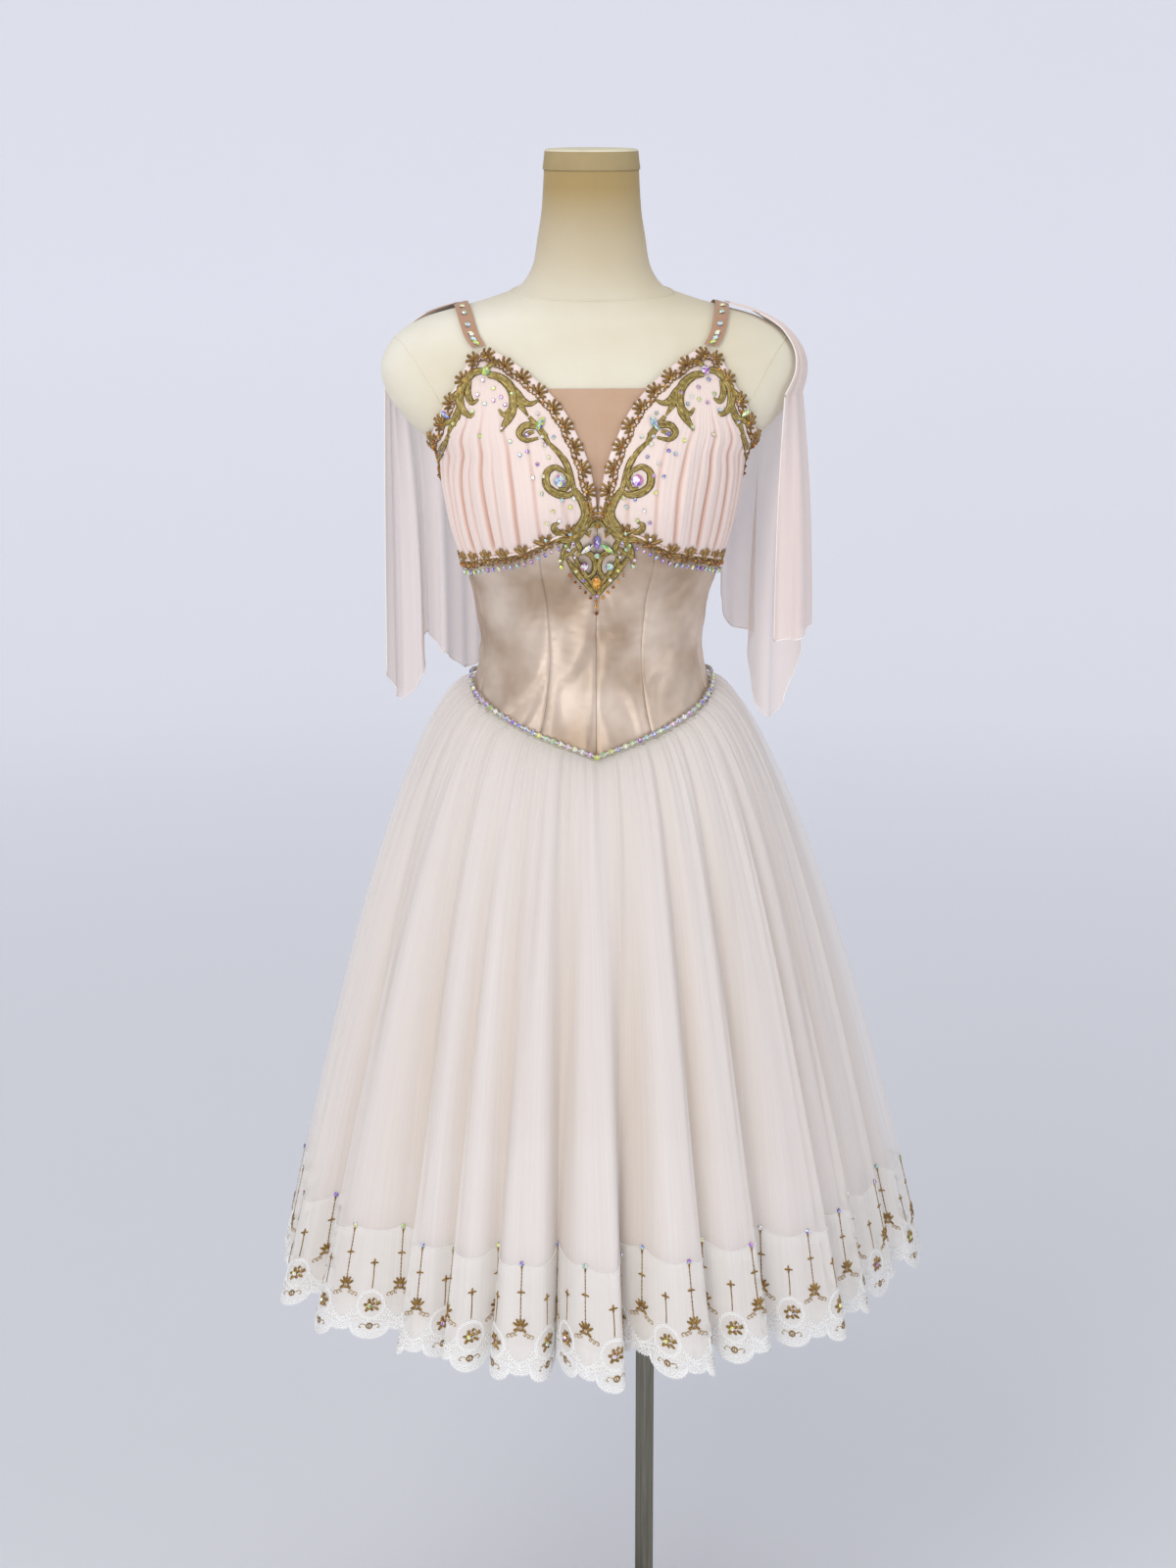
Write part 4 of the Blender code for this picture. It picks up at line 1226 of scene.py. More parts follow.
CRYSTALS = [
    Stone(37.5, 1326, 6.0, 6.0, 4.2),
    Stone(104, 1424, 4.6, 4.6, 3.2),
    Stone(12.8, 1242.5, 4.2, 4.2, 3.0),
    Stone(20.8, 1238.5, 2.0, 2.0, 1.5),
    Stone(13.4, 1228.5, 2.0, 2.0, 1.5),
    Stone(28.6, 1261, 2.2, 2.2, 1.6),
    Stone(34.6, 1243.5, 2.2, 2.2, 1.6),
    Stone(22.6, 1253, 1.5, 1.5, 1.1),
    Stone(50.5, 1358, 2.2, 2.2, 1.6, 45),
    Stone(52.5, 1365, 1.9, 1.9, 1.4, 45),
    Stone(66, 1367, 2.1, 2.1, 1.5),
    Stone(25.5, 1310, 2.0, 2.0, 1.5),
    Stone(28, 1277, 2.0, 2.0, 1.5),
    Stone(50, 1272, 1.9, 1.9, 1.4),
    Stone(36, 1250, 1.9, 1.9, 1.4),
    Stone(80, 1404, 1.9, 1.9, 1.4),
    Stone(89, 1373, 1.9, 1.9, 1.4),
    Stone(116, 1388, 1.9, 1.9, 1.4),
    Stone(134, 1377, 1.9, 1.9, 1.4),
    Stone(143, 1350, 1.9, 1.9, 1.4),
]
SCATTERED = [
    (107, 1416), (97, 1409), (112, 1403), (90, 1401), (105, 1395), (109, 1366), (81, 1361), (72, 1349),
    (57, 1341), (61, 1329), (54, 1315), (47, 1347), (42, 1365), (56, 1386), (36, 1309), (28, 1302),
    (44, 1299), (49, 1288), (38, 1290), (52, 1330), (97, 1398), (86, 1394), (66, 1352),
]
MARQUISES = [
    Stone(54, 1376.5, 3.4, 8.0, 3.0, 42),
    Stone(11, 1261, 3.0, 7.4, 2.8, 56),
    Stone(141, 1385, 2.6, 5.6, 2.4, -20),
]
CENTRE_CRYSTALS = [
    Stone(0, 1266.5, 3.0, 7.6, 3.0),
    Stone(0, 1253, 3.1, 3.1, 2.4),
    Stone(0, 1211.6, 2.0, 2.0, 1.5),
]
AMBER = [
    Stone(26.0, 1234, 1.7, 1.7, 1.5),
    Stone(21.0, 1227.2, 1.7, 1.7, 1.5),
    Stone(16.2, 1221.2, 1.7, 1.7, 1.5),
    Stone(11.0, 1215.8, 1.7, 1.7, 1.5),
    Stone(6.0, 1210.2, 1.7, 1.7, 1.5),
    Stone(9.4, 1273.2, 1.3, 1.7, 1.2),
    Stone(6.4, 1295.5, 1.2, 1.2, 1.1),
    Stone(3.0, 1292.0, 1.1, 1.1, 1.0),
    Stone(8.6, 1299.5, 1.2, 1.2, 1.1),
]
CENTRE_AMBER = [
    Stone(0, 1282, 1.5, 1.5, 1.3),
    Stone(0, 1206.0, 1.7, 1.7, 1.5),
    Stone(0, 1200.4, 1.7, 1.7, 1.5),
    Stone(0, 1194.2, 2.1, 2.1, 1.8),
]

# A palmette whose base is at 0, 0 and that opens towards +Y, and the scrolls between two.
PALMETTE = [
    Stroke([(0, 1.0), (0, 5.0), (0, 9.4)], 3.0, 0.35, 0.75),
    Stroke([(0.6, 0.9), (3.0, 3.6), (5.2, 7.6)], 2.8, 0.35, 0.75),
    Stroke([(-0.6, 0.9), (-3.0, 3.6), (-5.2, 7.6)], 2.8, 0.35, 0.75),
    Stroke([(0.8, 0.2), (4.4, 0.9), (8.0, 3.0)], 2.6, 0.35, 0.75),
    Stroke([(-0.8, 0.2), (-4.4, 0.9), (-8.0, 3.0)], 2.6, 0.35, 0.75),
    Stroke([(-4.0, -2.6), (-2.0, -3.4), (0, -2.0), (2.0, -3.4), (4.0, -2.6)], 1.3, 0.8, 0.8),
]
BETWEEN = [
    Stroke([(4.4, -2.4), (6.4, -0.4), (9.2, -0.2), (10.6, -2.2), (9.0, -3.8), (7.4, -2.8)], 1.5, 0.9, 0.6),
    Stroke([(18.6, -2.4), (16.6, -0.4), (13.8, -0.2), (12.4, -2.2), (14.0, -3.8), (15.6, -2.8)], 1.5, 0.9),
    Stroke([(3.2, -3.2), (8, -4.8), (11.5, -4.2), (15, -4.8), (19.8, -3.2)], 1.0, 0.9, 0.9),
]
PALMETTE_PITCH = 0.023


class Edging:
    """A design laid along a path on the form: x runs along it and y out from it."""

    def __init__(self, path, sign, ground, out_sign):
        points, along, side, normals = path_frames(path, 0.0)
        self.length = distance_along(points)
        self.ground = ground
        self.rows = [item * (sign, 1, 1) for item in (points, along, side * out_sign, normals)]

    def at(self, distance):
        return [
            np.stack([np.interp(distance, self.length, item[:, axis]) for axis in range(3)], axis=-1)
            for item in self.rows
        ]

    def lay(self, grid, shift):
        point, _, side, normal = self.at(grid[..., 0] + shift)
        flat = point + side * grid[..., 1:2]
        middle = grid.shape[1] // 2
        highest = highest_near(self.ground.lift(flat[:, middle], normal[:, middle]), 2)
        return flat + normal * (highest[:, None, None] + 0.0002 + grid[..., 2:3])

    def frames(self, x, y, above):
        point, along, side, normal = self.at(x)
        place = point + side * y[:, None]
        place = place + normal * (self.ground.lift(place, normal) + above)[:, None]
        return place, along, side, normal


def edging_parts(edging, inset, size, scrolls):
    """The palmettes, the scrolls between them and the beads' frames along one edge."""
    count = max(2, round((edging.length[-1] - 0.010) / PALMETTE_PITCH))
    step = (edging.length[-1] - 0.012) / (count - 0.001)
    grids, beads = [], []
    for number in range(count + 1):
        start = 0.006 + number * step
        strokes = [(stroke, 1.0, size) for stroke in PALMETTE]
        if number < count:
            strokes += [(stroke, step / PALMETTE_PITCH, 1.0) for stroke in scrolls]
            beads.append((start + step / 2, -0.0016))
        beads.append((start, -0.0004))
        for stroke, stretch, scale in strokes:
            grid, uv = worked(stroke._replace(width=stroke.width * 1.15), height=0.5, spacing=0.7)
            grid = grid * (stretch * scale, scale, 1) + (0, inset, 0)
            grids.append((edging.lay(grid, start), uv))
    x, y = np.array(beads).T
    return grids, edging.frames(x, y + inset, 0.0006)


def outlined(stroke, wider):
    """The same line a little wider, for the dark rim round it."""
    return stroke._replace(width=stroke.width * wider + 1.1)


def build_ornament(ground, crystal):
    # Each thread's light and dark colours are painted highlight and painted shade.
    gold = gold_thread("gold_lace", srgb(214, 194, 126), srgb(152, 130, 66), srgb(82, 64, 24))
    wire = gold_thread("gold_wire", srgb(200, 164, 102), srgb(138, 105, 54), srgb(70, 48, 20))
    edge = gold_thread("gold_outline", srgb(120, 98, 46), srgb(88, 68, 28), srgb(54, 40, 14), 0.3)
    amber = aurora("amber", True)
    flat_gem = gem(8, 0.55)
    for side, sign in SIDES[::-1]:
        scroll, leaf, lines = [], [], []
        for stroke in CUP_SCROLL:
            outline, spot = worked(outlined(stroke, 1.45), FLAT, 0.06)
            outline[..., 0] *= sign
            lines.append((ground.lay(outline, 0.00015), spot))
            grid, uv = worked(stroke._replace(width=stroke.width * 1.45), RIDGED, 0.20)
            grid[..., 0] *= sign
            low = np.asarray(stroke.points, float)[:, 1].max() < 1345
            (scroll if low else leaf).append((ground.lay(grid, 0.0004), uv))
        made = add_on(strips(f"cup_scroll_{side}_work", scroll, gold))
        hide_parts(f"cup_scroll_{side}")
        add_on(strips(f"cup_outline_{side}", lines, edge))
        made = add_on(strips(f"cup_leaf_{side}_work", leaf, gold))
        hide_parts(f"cup_leaf_{side}")
    medallion, lines = [], []
    for stroke in MEDALLION + flipped(MEDALLION) + MEDALLION_CENTRE:
        outline, spot = worked(outlined(stroke, 1.25), FLAT, 0.06)
        lines.append((ground.lay(outline, 0.0003), spot))
        wider = stroke._replace(width=stroke.width * 1.25)
        grid, uv = worked(wider, RIDGED if stroke.width > 2.5 else ROUND, 0.26)
        medallion.append((ground.lay(grid, 0.0006), uv))
    add_on(strips("centre_medallion_outline", lines, edge))
    made = add_on(strips("centre_medallion_work", medallion, gold))
    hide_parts("centre_medallion")

    def set_stones(name, rows, template, look, seed, above=0.0012, smooth=False):
        table = np.array(rows, float)
        frames = ground.frames(table[:, 0] / 1000, table[:, 1] / 1000, table[:, 5], above)
        add_on(stones(name, template, frames, table[:, 2:5] / 1000, look, seed, smooth))

    both = CRYSTALS + flip_stones(CRYSTALS) + CENTRE_CRYSTALS[1:]
    set_stones("round_crystals", both, flat_gem, crystal, 5)
    long = MARQUISES + flip_stones(MARQUISES) + CENTRE_CRYSTALS[:1]
    set_stones("marquise_crystals", long, marquise(), crystal, 6)
    scattered = [Stone(x * s, z, 2.1, 2.1, 1.5) for x, z in SCATTERED for s in (1, -1)]
    set_stones("scattered_crystals", scattered, flat_gem, crystal, 7, 0.0003)
    set_stones("amber_beads", AMBER + flip_stones(AMBER) + CENTRE_AMBER, bead(), amber, 8, 0.0003, True)
    set_stones("amber_oval", [Stone(0, 1224.8, 4.0, 6.0, 3.6)], gem(12, 0.45), amber, 9)
    build_edgings(ground, wire, crystal, amber)


def marquise():
    """A stone pointed at both ends."""
    points, faces = gem(10, 0.5)
    points[:, 0] *= 1 - 0.35 * np.abs(points[:, 1]) ** 1.5
    return points, faces


def build_edgings(ground, wire, crystal, amber):
    """The lace with amber beads along the neckline, the armholes and the underbust line."""
    down_neckline = edge_path(neckline_rows(), 160, 0.0, 1.0)[::-1]
    armhole = edge_path(armhole_rows()[::-1], 120, 0.0, 1.0)
    underbust = edge_path(UNDERBUST, 160, 0.10, 1.0)
    underbust[:, 1] -= 0.0030
    beads = []
    for side, sign in SIDES[::-1]:
        for name, path, out_sign, inset, size, scrolls in (
            ("neckline_lace", down_neckline, -1.0, -0.0080, 1.10, BETWEEN),
            ("armhole_lace", armhole, 1.0, -0.0052, 1.10, BETWEEN),
            ("underbust_lace", underbust, 1.0, 0.0004, 1.35, BETWEEN[:2]),
        ):
            edging = Edging(path, sign, ground, out_sign)
            grids, frames = edging_parts(edging, inset, size, scrolls)
            made = add_on(strips(f"{name}_{side}_work", grids, wire))
            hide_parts(f"{name}_{side}")
            beads.append(frames)
            if name == "underbust_lace":
                hanging_drops(side, edging, crystal)
    frames = [np.concatenate([row[index] for row in beads]) for index in range(4)]
    sizes = np.full((len(frames[0]), 3), 0.0015)
    add_on(stones("edging_beads", bead(), frames, sizes, amber, 12, True))


def hanging_drops(side, edging, look):
    """Small clear drops that hang under the underbust lace."""
    count = int(edging.length[-1] / 0.0076)
    x = np.linspace(0.006, edging.length[-1] - 0.003, count)
    y = np.full(count, -0.0082)
    frames = edging.frames(x, y, 0.0002)
    sizes = np.tile([0.0017, 0.0027, 0.0017], (count, 1))
    add_on(stones(f"drops_{side}", bead(), frames, sizes, look, 14, True))


def build_strap_stones(crystal):
    """Six crystals up the front of each strap."""
    along = 0.035 + 0.05 * np.arange(6)
    points, ahead = (
        onto_form(strap_points(np.array([0.0]), place), np.full((6, 1), LEAST_LIFT))[:, 0]
        for place in (along, along + 0.01)
    )
    forward = unit(ahead - points)
    across = np.array([(1.0, 0.0, 0.0)] * 6)
    out = unit(np.cross(across, forward))
    out *= np.sign(out[:, 2:3] + 1e-9)
    sizes = np.tile([0.0030, 0.0030, 0.0018], (6, 1))
    for side, sign in SIDES[::-1]:
        frames = [item * (sign, 1, 1) for item in (points, across, forward, out)]
        add_on(stones(f"strap_{side}_crystals", gem(8, 0.55), frames, sizes, crystal, 20))


CHAIN_PITCH = 0.0075
CHAIN_LIFT = 0.0070


def build_waist_chain(crystal):
    """Crystals in silver cups along the pointed waist, all the way round."""

    def on_waist(angle, lift):
        return lifted(angle, waist_height(angle) + 0.0002, lift)

    angles = np.linspace(-180, 180, 1441)
    length = distance_along(on_waist(angles, CHAIN_LIFT + 0.0004))
    half = np.interp(0, angles, length)
    count = int(half / CHAIN_PITCH)
    at = half + np.arange(-count, count) * (half / count)
    turn = np.interp(at, length, angles)
    place = on_waist(turn, CHAIN_LIFT)
    out = form_normal(turn, waist_height(turn) + 0.0002)
    ahead, behind = (lifted(angle, waist_height(angle), CHAIN_LIFT) for angle in (turn + 0.4, turn - 0.4))
    along = unit(ahead - behind)
    up = np.cross(out, along)
    frames = (place + out * 0.0004, along, up, out)
    sizes = np.tile([0.0026, 0.0026, 0.0020], (len(place), 1))
    add_on(stones("waist_crystals", gem(8, 0.55), frames, sizes, crystal, 31))
    silver = Shader("silver_cup", 0.34, 0.35)
    tones = [(0.3, srgb(176, 173, 164)), (0.7, srgb(240, 238, 230))]
    silver.link(silver.ramp(silver.noise(silver.coordinates(), 900.0), tones), "Base Color")
    round_turn = np.linspace(0, 2 * np.pi, 13)
    cosine, sine = np.cos(round_turn)[:, None], np.sin(round_turn)[:, None]
    profile = [(0.0025, -0.0006), (0.0028, 0.0), (0.0028, 0.0007), (0.0025, 0.0006)]
    grids = []
    for spot, a, b, c in zip(place, along, up, out):
        cup = [spot + radius * (a * cosine + b * sine) + c * height for radius, height in profile]
        grids.append((np.array(cup), np.zeros((4, 13, 2))))
    made = add_on(strips("waist_cups", grids, silver.material))
    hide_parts("waist_chain")
    link = tube(on_waist(angles, CHAIN_LIFT + 0.0002), 0.0014)
    add_on(solid("waist_cord", *link, silver.material))


# ---------------------------------------------------------------- skirt


def fold_phase(angle):
    """The phase of the folds round the skirt, of which FOLD_COUNT lie unevenly spaced."""
    turn = np.radians(angle)
    wide = 0.9 * np.sin(3 * turn + 0.5) + 0.7 * np.sin(5 * turn + 2.0)
    narrow = 0.75 * np.sin(8 * turn + 4.0) + 0.42 * np.sin(13 * turn + 1.0)
    return FOLD_COUNT * turn + wide + narrow


def fold_rate(angle):
    """How fast the folds follow each other, against their even spacing."""
    step = np.radians(angle + 0.1) - np.radians(angle - 0.1)
    return (fold_phase(angle + 0.1) - fold_phase(angle - 0.1)) / step / FOLD_COUNT


def fold_depth(angle):
    """How deep each fold is, against the layer's own depth: crowded folds are shallower."""
    turn = np.radians(angle)
    slow = 0.26 * np.sin(4 * turn + 1.1) + 0.24 * np.sin(7 * turn + 2.4)
    return (1 + slow + 0.18 * np.sin(9 * turn + 0.3)) / np.sqrt(np.maximum(fold_rate(angle), 0.3))


def waist_gathers(turn, down, seed):
    """The fine gathers below the waist seam, and the longer ones that run on down the skirt."""
    fine, long = 0, 0
    for number, pace in enumerate((47, 61, 83, 101, 127, 149)):
        fine = fine + np.cos(pace * turn + 1.7 * number * number + seed)
    for number, pace in enumerate((29, 37, 43, 58)):
        long = long + np.cos(pace * turn + 2.3 * number * number + 1.9 * seed + 0.8 * down * number)
    near = 0.00075 * np.exp(-down / 0.13) * fine
    return near + 0.00125 * np.exp(-(((down - 0.30) / 0.34) ** 2)) * long


def skirt_point(angle, down, layer, seed=0.0):
    """A point of a layer: down is 0 at the waist and 1 at the hem.

    The folds grow downwards, lean over to one side or the other, and hang lower at their crests."""
    angle, down = np.broadcast_arrays(np.asarray(angle, float), np.asarray(down, float))
    turn = np.radians(angle)
    start = lifted(angle, waist_height(angle) - 0.0025 - layer.drop, layer.lift)
    phase = fold_phase(angle)
    depth = 1.15 * layer.fold * fold_depth(angle)
    grown = down**1.1
    sway = 0.35 * np.sin(2.2 * down + 3 * turn + seed)
    wave = np.cos(phase + sway * down) - 0.10 * np.cos(2 * phase + 1.0) - 0.11 * np.cos(3 * phase)
    lean = 1.15 * np.sin(2 * turn + 0.4) + 0.45 * np.sin(5 * turn + 1.3)
    reach = (0.80 + 0.50 * np.abs(np.sin(lean))) / np.maximum(fold_rate(angle), 0.3) / FOLD_COUNT
    side = reach * layer.hem_radius * grown * np.sin(phase + sway * down + lean)
    swing = down * (0.0070 * np.sin(5 * turn + 0.6 + seed) + 0.0055 * np.sin(3 * turn + 2.0))
    bulge = depth * grown * wave + swing + waist_gathers(turn, down, seed)
    place = turn + side / layer.hem_radius
    out = np.stack([np.sin(place), -np.cos(place), 0 * place], axis=-1)
    hem = out * layer.hem_radius
    hem[..., 2] = layer.hem_height
    point = start + (hem - start) * (down**0.6)[..., None]
    point += out * bulge[..., None]
    point[..., 2] = start[..., 2] + (layer.hem_height - start[..., 2]) * down
    point[..., 2] += 0.0045 * down * np.sin(4 * turn + 0.8 + seed)
    point[..., 2] -= 0.0070 * down**2 * np.cos(phase) * fold_depth(angle)
    return point


def valley_shade(angle, down):
    """How deep in a fold each point of the skirt lies, for the painted shade in the folds' valleys."""
    inward = np.clip(0.35 - 0.75 * np.cos(fold_phase(angle)), 0, 1)
    return inward * np.clip(down / 0.5, 0, 1)


def skirt_rows(start, end, count):
    """Rows that lie closer together near the waist."""
    return start + (end - start) * np.linspace(0, 1, count) ** 1.3


def build_skirt():
    # The last colour of each tulle is painted shade for the folds' valleys.
    outer = tulle("tulle_outer", srgb(253, 248, 244), srgb(248, 241, 235), 0.44, srgb(244, 235, 225))
    inner = tulle("tulle_inner", srgb(252, 243, 238), srgb(246, 234, 227), 0.70, srgb(236, 220, 205))
    angles = np.linspace(-180, 180, 1081)
    rows = skirt_rows(1e-6, BORDER_TOP + 0.015, 44)[::-1, None]
    points = skirt_point(angles[None, :], rows, OVER)
    over = shell("skirt_over_tulle", points, outer, fold=valley_shade(angles[None, :], rows))
    cloth_piece(over, ["skirt_over"])
    for layer, seed in ((MIDDLE, 0.10), (UNDER, 0.22)):
        rows = skirt_rows(1e-6, 1.0, 40)[::-1, None]
        points = skirt_point(angles[None, ::2], rows, layer, seed)
        made = shell(f"{layer.name}_tulle", points, inner, fold=valley_shade(angles[None, ::2], rows))
        cloth_piece(made, [layer.name])


# ---------------------------------------------------------------- the skirt's border

REPEAT = 0.0575
BAND_HEIGHT = 0.110
# The roundel's centre above the hem, in millimetres like the embroidery.
ROUNDEL_HEIGHT = 32.5


class Hem:
    """The border's own surface: u runs round the skirt along the cloth and v up from the hem."""

    def __init__(self, layer):
        self.layer = layer
        self.angles = np.linspace(-180, 180, 4321)
        path = skirt_point(self.angles, 0.93, layer)
        length = distance_along(path)
        self.count = int(round(length[-1] / REPEAT))
        self.length = length / length[-1] * self.count * REPEAT
        self.total = self.count * REPEAT
        self.starts = (np.arange(self.count) + 0.5) * REPEAT
        self.tall = skirt_point(self.angles, 0.0, layer)[:, 2] - layer.hem_height

    def point(self, u, v):
        angle = np.interp(np.mod(u, self.total), self.length, self.angles)
        down = 1 - v * 0.985 / np.interp(angle, self.angles, self.tall)
        return skirt_point(angle, down, self.layer)

    def frames(self, u, v, rise):
        """Points standing off the cloth by rise, and the directions across, up and out there."""
        across = unit(self.point(u + 0.0008, v) - self.point(u - 0.0008, v))
        up = self.point(u, v + 0.002) - self.point(u, v - 0.002)
        out = unit(np.cross(across, up))
        return self.point(u, v) + out * rise[..., None], across, np.cross(out, across), out

    def repeated(self, grid):
        """A worked grid of one repeat, laid on the cloth at every repeat."""
        u = grid[None, ..., 0] + self.starts[:, None, None]
        v = np.broadcast_to(grid[None, ..., 1], u.shape)
        return self.frames(u, v, np.broadcast_to(grid[None, ..., 2], u.shape))[0]


def from_middle(u):
    """How far a place on the border is from its nearest roundel's centre."""
    return np.abs(np.mod(u, REPEAT) - REPEAT / 2)


def hem_edge(u):
    """The scalloped hem: a deep scallop under each roundel and a shallow one between."""
    away = from_middle(u)
    deep = 0.0125 * (1 - np.sqrt(np.clip(1 - (away / 0.0192) ** 2, 0, 1)))
    shallow = 0.0125 - 0.0036 * np.sqrt(np.clip(1 - ((away - 0.02875) / 0.0096) ** 2, 0, 1))
    return np.where(away < 0.0191, deep, shallow)


def band_top(u):
    """The band's upper edge rises to each tall stem."""
    share = from_middle(u) / (REPEAT / 2)
    return BAND_HEIGHT - 0.0045 + 0.0060 * share**2.2


def net_top(u):
    """The upper edge of the corded filling, which dips between the roundels."""
    away = from_middle(u)
    return 0.0200 + 0.0135 * np.clip((REPEAT / 2 - away) / 0.0145, 0, 1.1) ** 1.6


# One repeat of the embroidery, in millimetres from the roundel's axis and up from the hem.
FLOWER = [
    Stroke([(-1, 32), (-2.2, 38.5)], 2.5, 0.7, 0.6),
    Stroke([(-1, 32), (-7.0, 32.6)], 2.4, 0.7, 0.6),
    Stroke([(-1, 31), (-4.8, 26.0)], 2.5, 0.7, 0.6),
    Stroke([(-1, 31), (2.6, 26.6)], 2.4, 0.7, 0.6),
    Stroke([(-1, 32), (4.2, 34.6)], 2.3, 0.7, 0.6),
    Stroke([(3.0, 30.6), (8.0, 27.6)], 2.0, 0.6, 0.7),
    Stroke([(5.8, 32.2), (9.2, 36.2)], 2.2, 0.7, 0.5),
    Stroke([(5.6, 34.6), (10.2, 33.4)], 1.8, 0.7, 0.5),
    Stroke([(1.2, 36.4), (3.4, 39.6)], 1.8, 0.7, 0.5),
]
ROUNDEL_CURLS = [
    Stroke([(1.6, 35.6), (3.4, 38.0), (5.6, 37.4), (5.2, 35.2)], 0.8, 1.0, 0.7),
    Stroke([(2.4, 33.4), (5.0, 32.6), (7.2, 33.8)], 0.8, 1.0, 0.7),
]
EYE = [
    Stroke(closed_ring((0, 11.6), 2.7, 2.4), 1.2, 1.0, 1.0),
    Stroke([(-0.6, 11.6), (0.6, 11.6)], 1.3, 0.9, 0.9),
]
EYE_CURLS = [
    Stroke([(3.6, 12.0), (6.4, 13.6), (9.2, 12.6), (9.6, 10.4), (7.6, 10.2)], 0.8, 1.0, 0.7),
    Stroke([(-3.6, 12.0), (-6.4, 13.6), (-9.2, 12.6), (-9.6, 10.4), (-7.6, 10.2)], 0.8, 1.0, 0.7),
]
SHORT_CROSS = [
    Stroke([(0, 49), (0.3, 60), (0, 72)], 1.15, 1.0, 1.0, 7),
    Stroke([(0, 71), (0, 78)], 1.5, 0.9, 0.7),
    Stroke([(-4.3, 73.6), (0, 74.2), (4.3, 74.0)], 1.5, 0.6, 0.6),
]
TALL_CROSS = [
    Stroke([(28.75, 58), (28.6, 74), (28.75, 92), (28.75, 106.5)], 1.15, 1.0, 1.0, 13),
    Stroke([(24.6, 83.6), (28.75, 84.4), (32.9, 84.0)], 1.5, 0.6, 0.6),
    Stroke([(28.75, 105), (28.75, 109)], 1.7, 0.7, 1.0),
]
TALL_FLOWER = [
    Stroke(closed_ring((28.75, 51.6), 2.7, 2.5), 1.3, 1.0, 1.0),
    Stroke([(28.2, 51.6), (29.3, 51.6)], 1.2, 0.9, 0.9),
    Stroke([(28.75, 54), (28.9, 60.5)], 2.0, 0.7, 0.6),
    Stroke([(29.5, 54), (33.0, 59.8)], 2.0, 0.7, 0.6),
    Stroke([(28.0, 54), (24.6, 59.4)], 2.0, 0.7, 0.6),
    Stroke([(31.0, 53), (36.4, 56.4)], 1.9, 0.7, 0.6),
    Stroke([(26.6, 53), (21.4, 55.8)], 1.9, 0.7, 0.6),
    Stroke([(26.4, 50.8), (22.2, 48.6)], 1.8, 0.7, 0.6),
    Stroke([(31.0, 50.8), (34.6, 48.2)], 1.8, 0.7, 0.6),
]
HALF_GARLAND = [
    Stroke(points, 0.75, 1.0, 0.8)
    for points in (
        [(26.4, 48.6), (24.2, 47.8), (22.6, 45.8), (23.6, 44.0), (25.3, 44.8), (24.4, 46.2)],
        [(23.0, 46.6), (20.6, 46.0), (19.0, 44.0), (20.0, 42.4), (21.7, 43.0), (20.8, 44.4)],
        [(19.4, 44.8), (17.2, 44.8), (15.4, 43.2), (16.2, 41.4), (17.9, 42.0)],
    )
]


def wavy_ring(radius, waves_round):
    """The points of a wavy ring round the roundel's centre, in millimetres."""
    turn = np.linspace(0, 2 * np.pi, 49)
    reach = radius + 0.35 * np.sin(waves_round * turn)
    return np.stack([reach * np.sin(turn), ROUNDEL_HEIGHT + reach * np.cos(turn)], axis=-1)


def border_cords():
    """White corded lines of one repeat, as grids in metres: rings, edges and filling."""
    half = REPEAT / 2 * 1000
    made = []

    def cord(points, width, spacing):
        made.append(worked(Stroke(points, width, 1.0, 1.0), FLAT, 0.42, spacing))

    for radius, waves_round in ((14.2, 22), (12.6, 18)):
        cord(wavy_ring(radius, waves_round), 1.25, 1.5)
    across = np.linspace(-half, half, 60)
    edge = hem_edge((across + half) / 1000) * 1000
    for offset, width, pace in ((0.2, 1.3, 17), (2.2, 1.0, 14), (4.0, 0.9, 11)):
        wave = 0.5 * np.sin(np.pi * pace * across / half)
        cord(np.stack([across, edge + offset + wave], axis=-1), width, 1.0)
    pick = np.random.default_rng(4)
    filled = np.linspace(-half, half, 130)
    low = hem_edge((filled + half) / 1000) * 1000 + 5.2
    high = net_top((filled + half) / 1000) * 1000
    for level in (0.04, 0.22, 0.40, 0.58, 0.76, 0.98):
        wander = 0.9 * np.sin(np.pi * (filled / half * 3 + 2 * pick.uniform()))
        curl = np.pi * filled / half * (16 + int(level * 8))
        v = low + (high - low) * level + wander * (level < 0.9) + 1.15 * np.sin(curl)
        x = filled + 1.15 * np.cos(curl)
        outside = np.hypot(x, v - ROUNDEL_HEIGHT) > 14.6
        line = np.stack([x, v], axis=-1)
        start = 0
        for stop in range(1, len(line) + 1):
            if stop == len(line) or outside[stop] != outside[stop - 1]:
                if outside[stop - 1] and stop - start > 4:
                    cord(line[start:stop], 0.95, 1.2)
                start = stop
    for place in np.arange(-half + 1.4, half, 2.7):
        picot = (place, hem_edge((place + half) / 1000) * 1000 - 0.7)
        cord(closed_ring(picot, 1.0, 0.9, 330, 6), 0.7, 1.0)
    return made


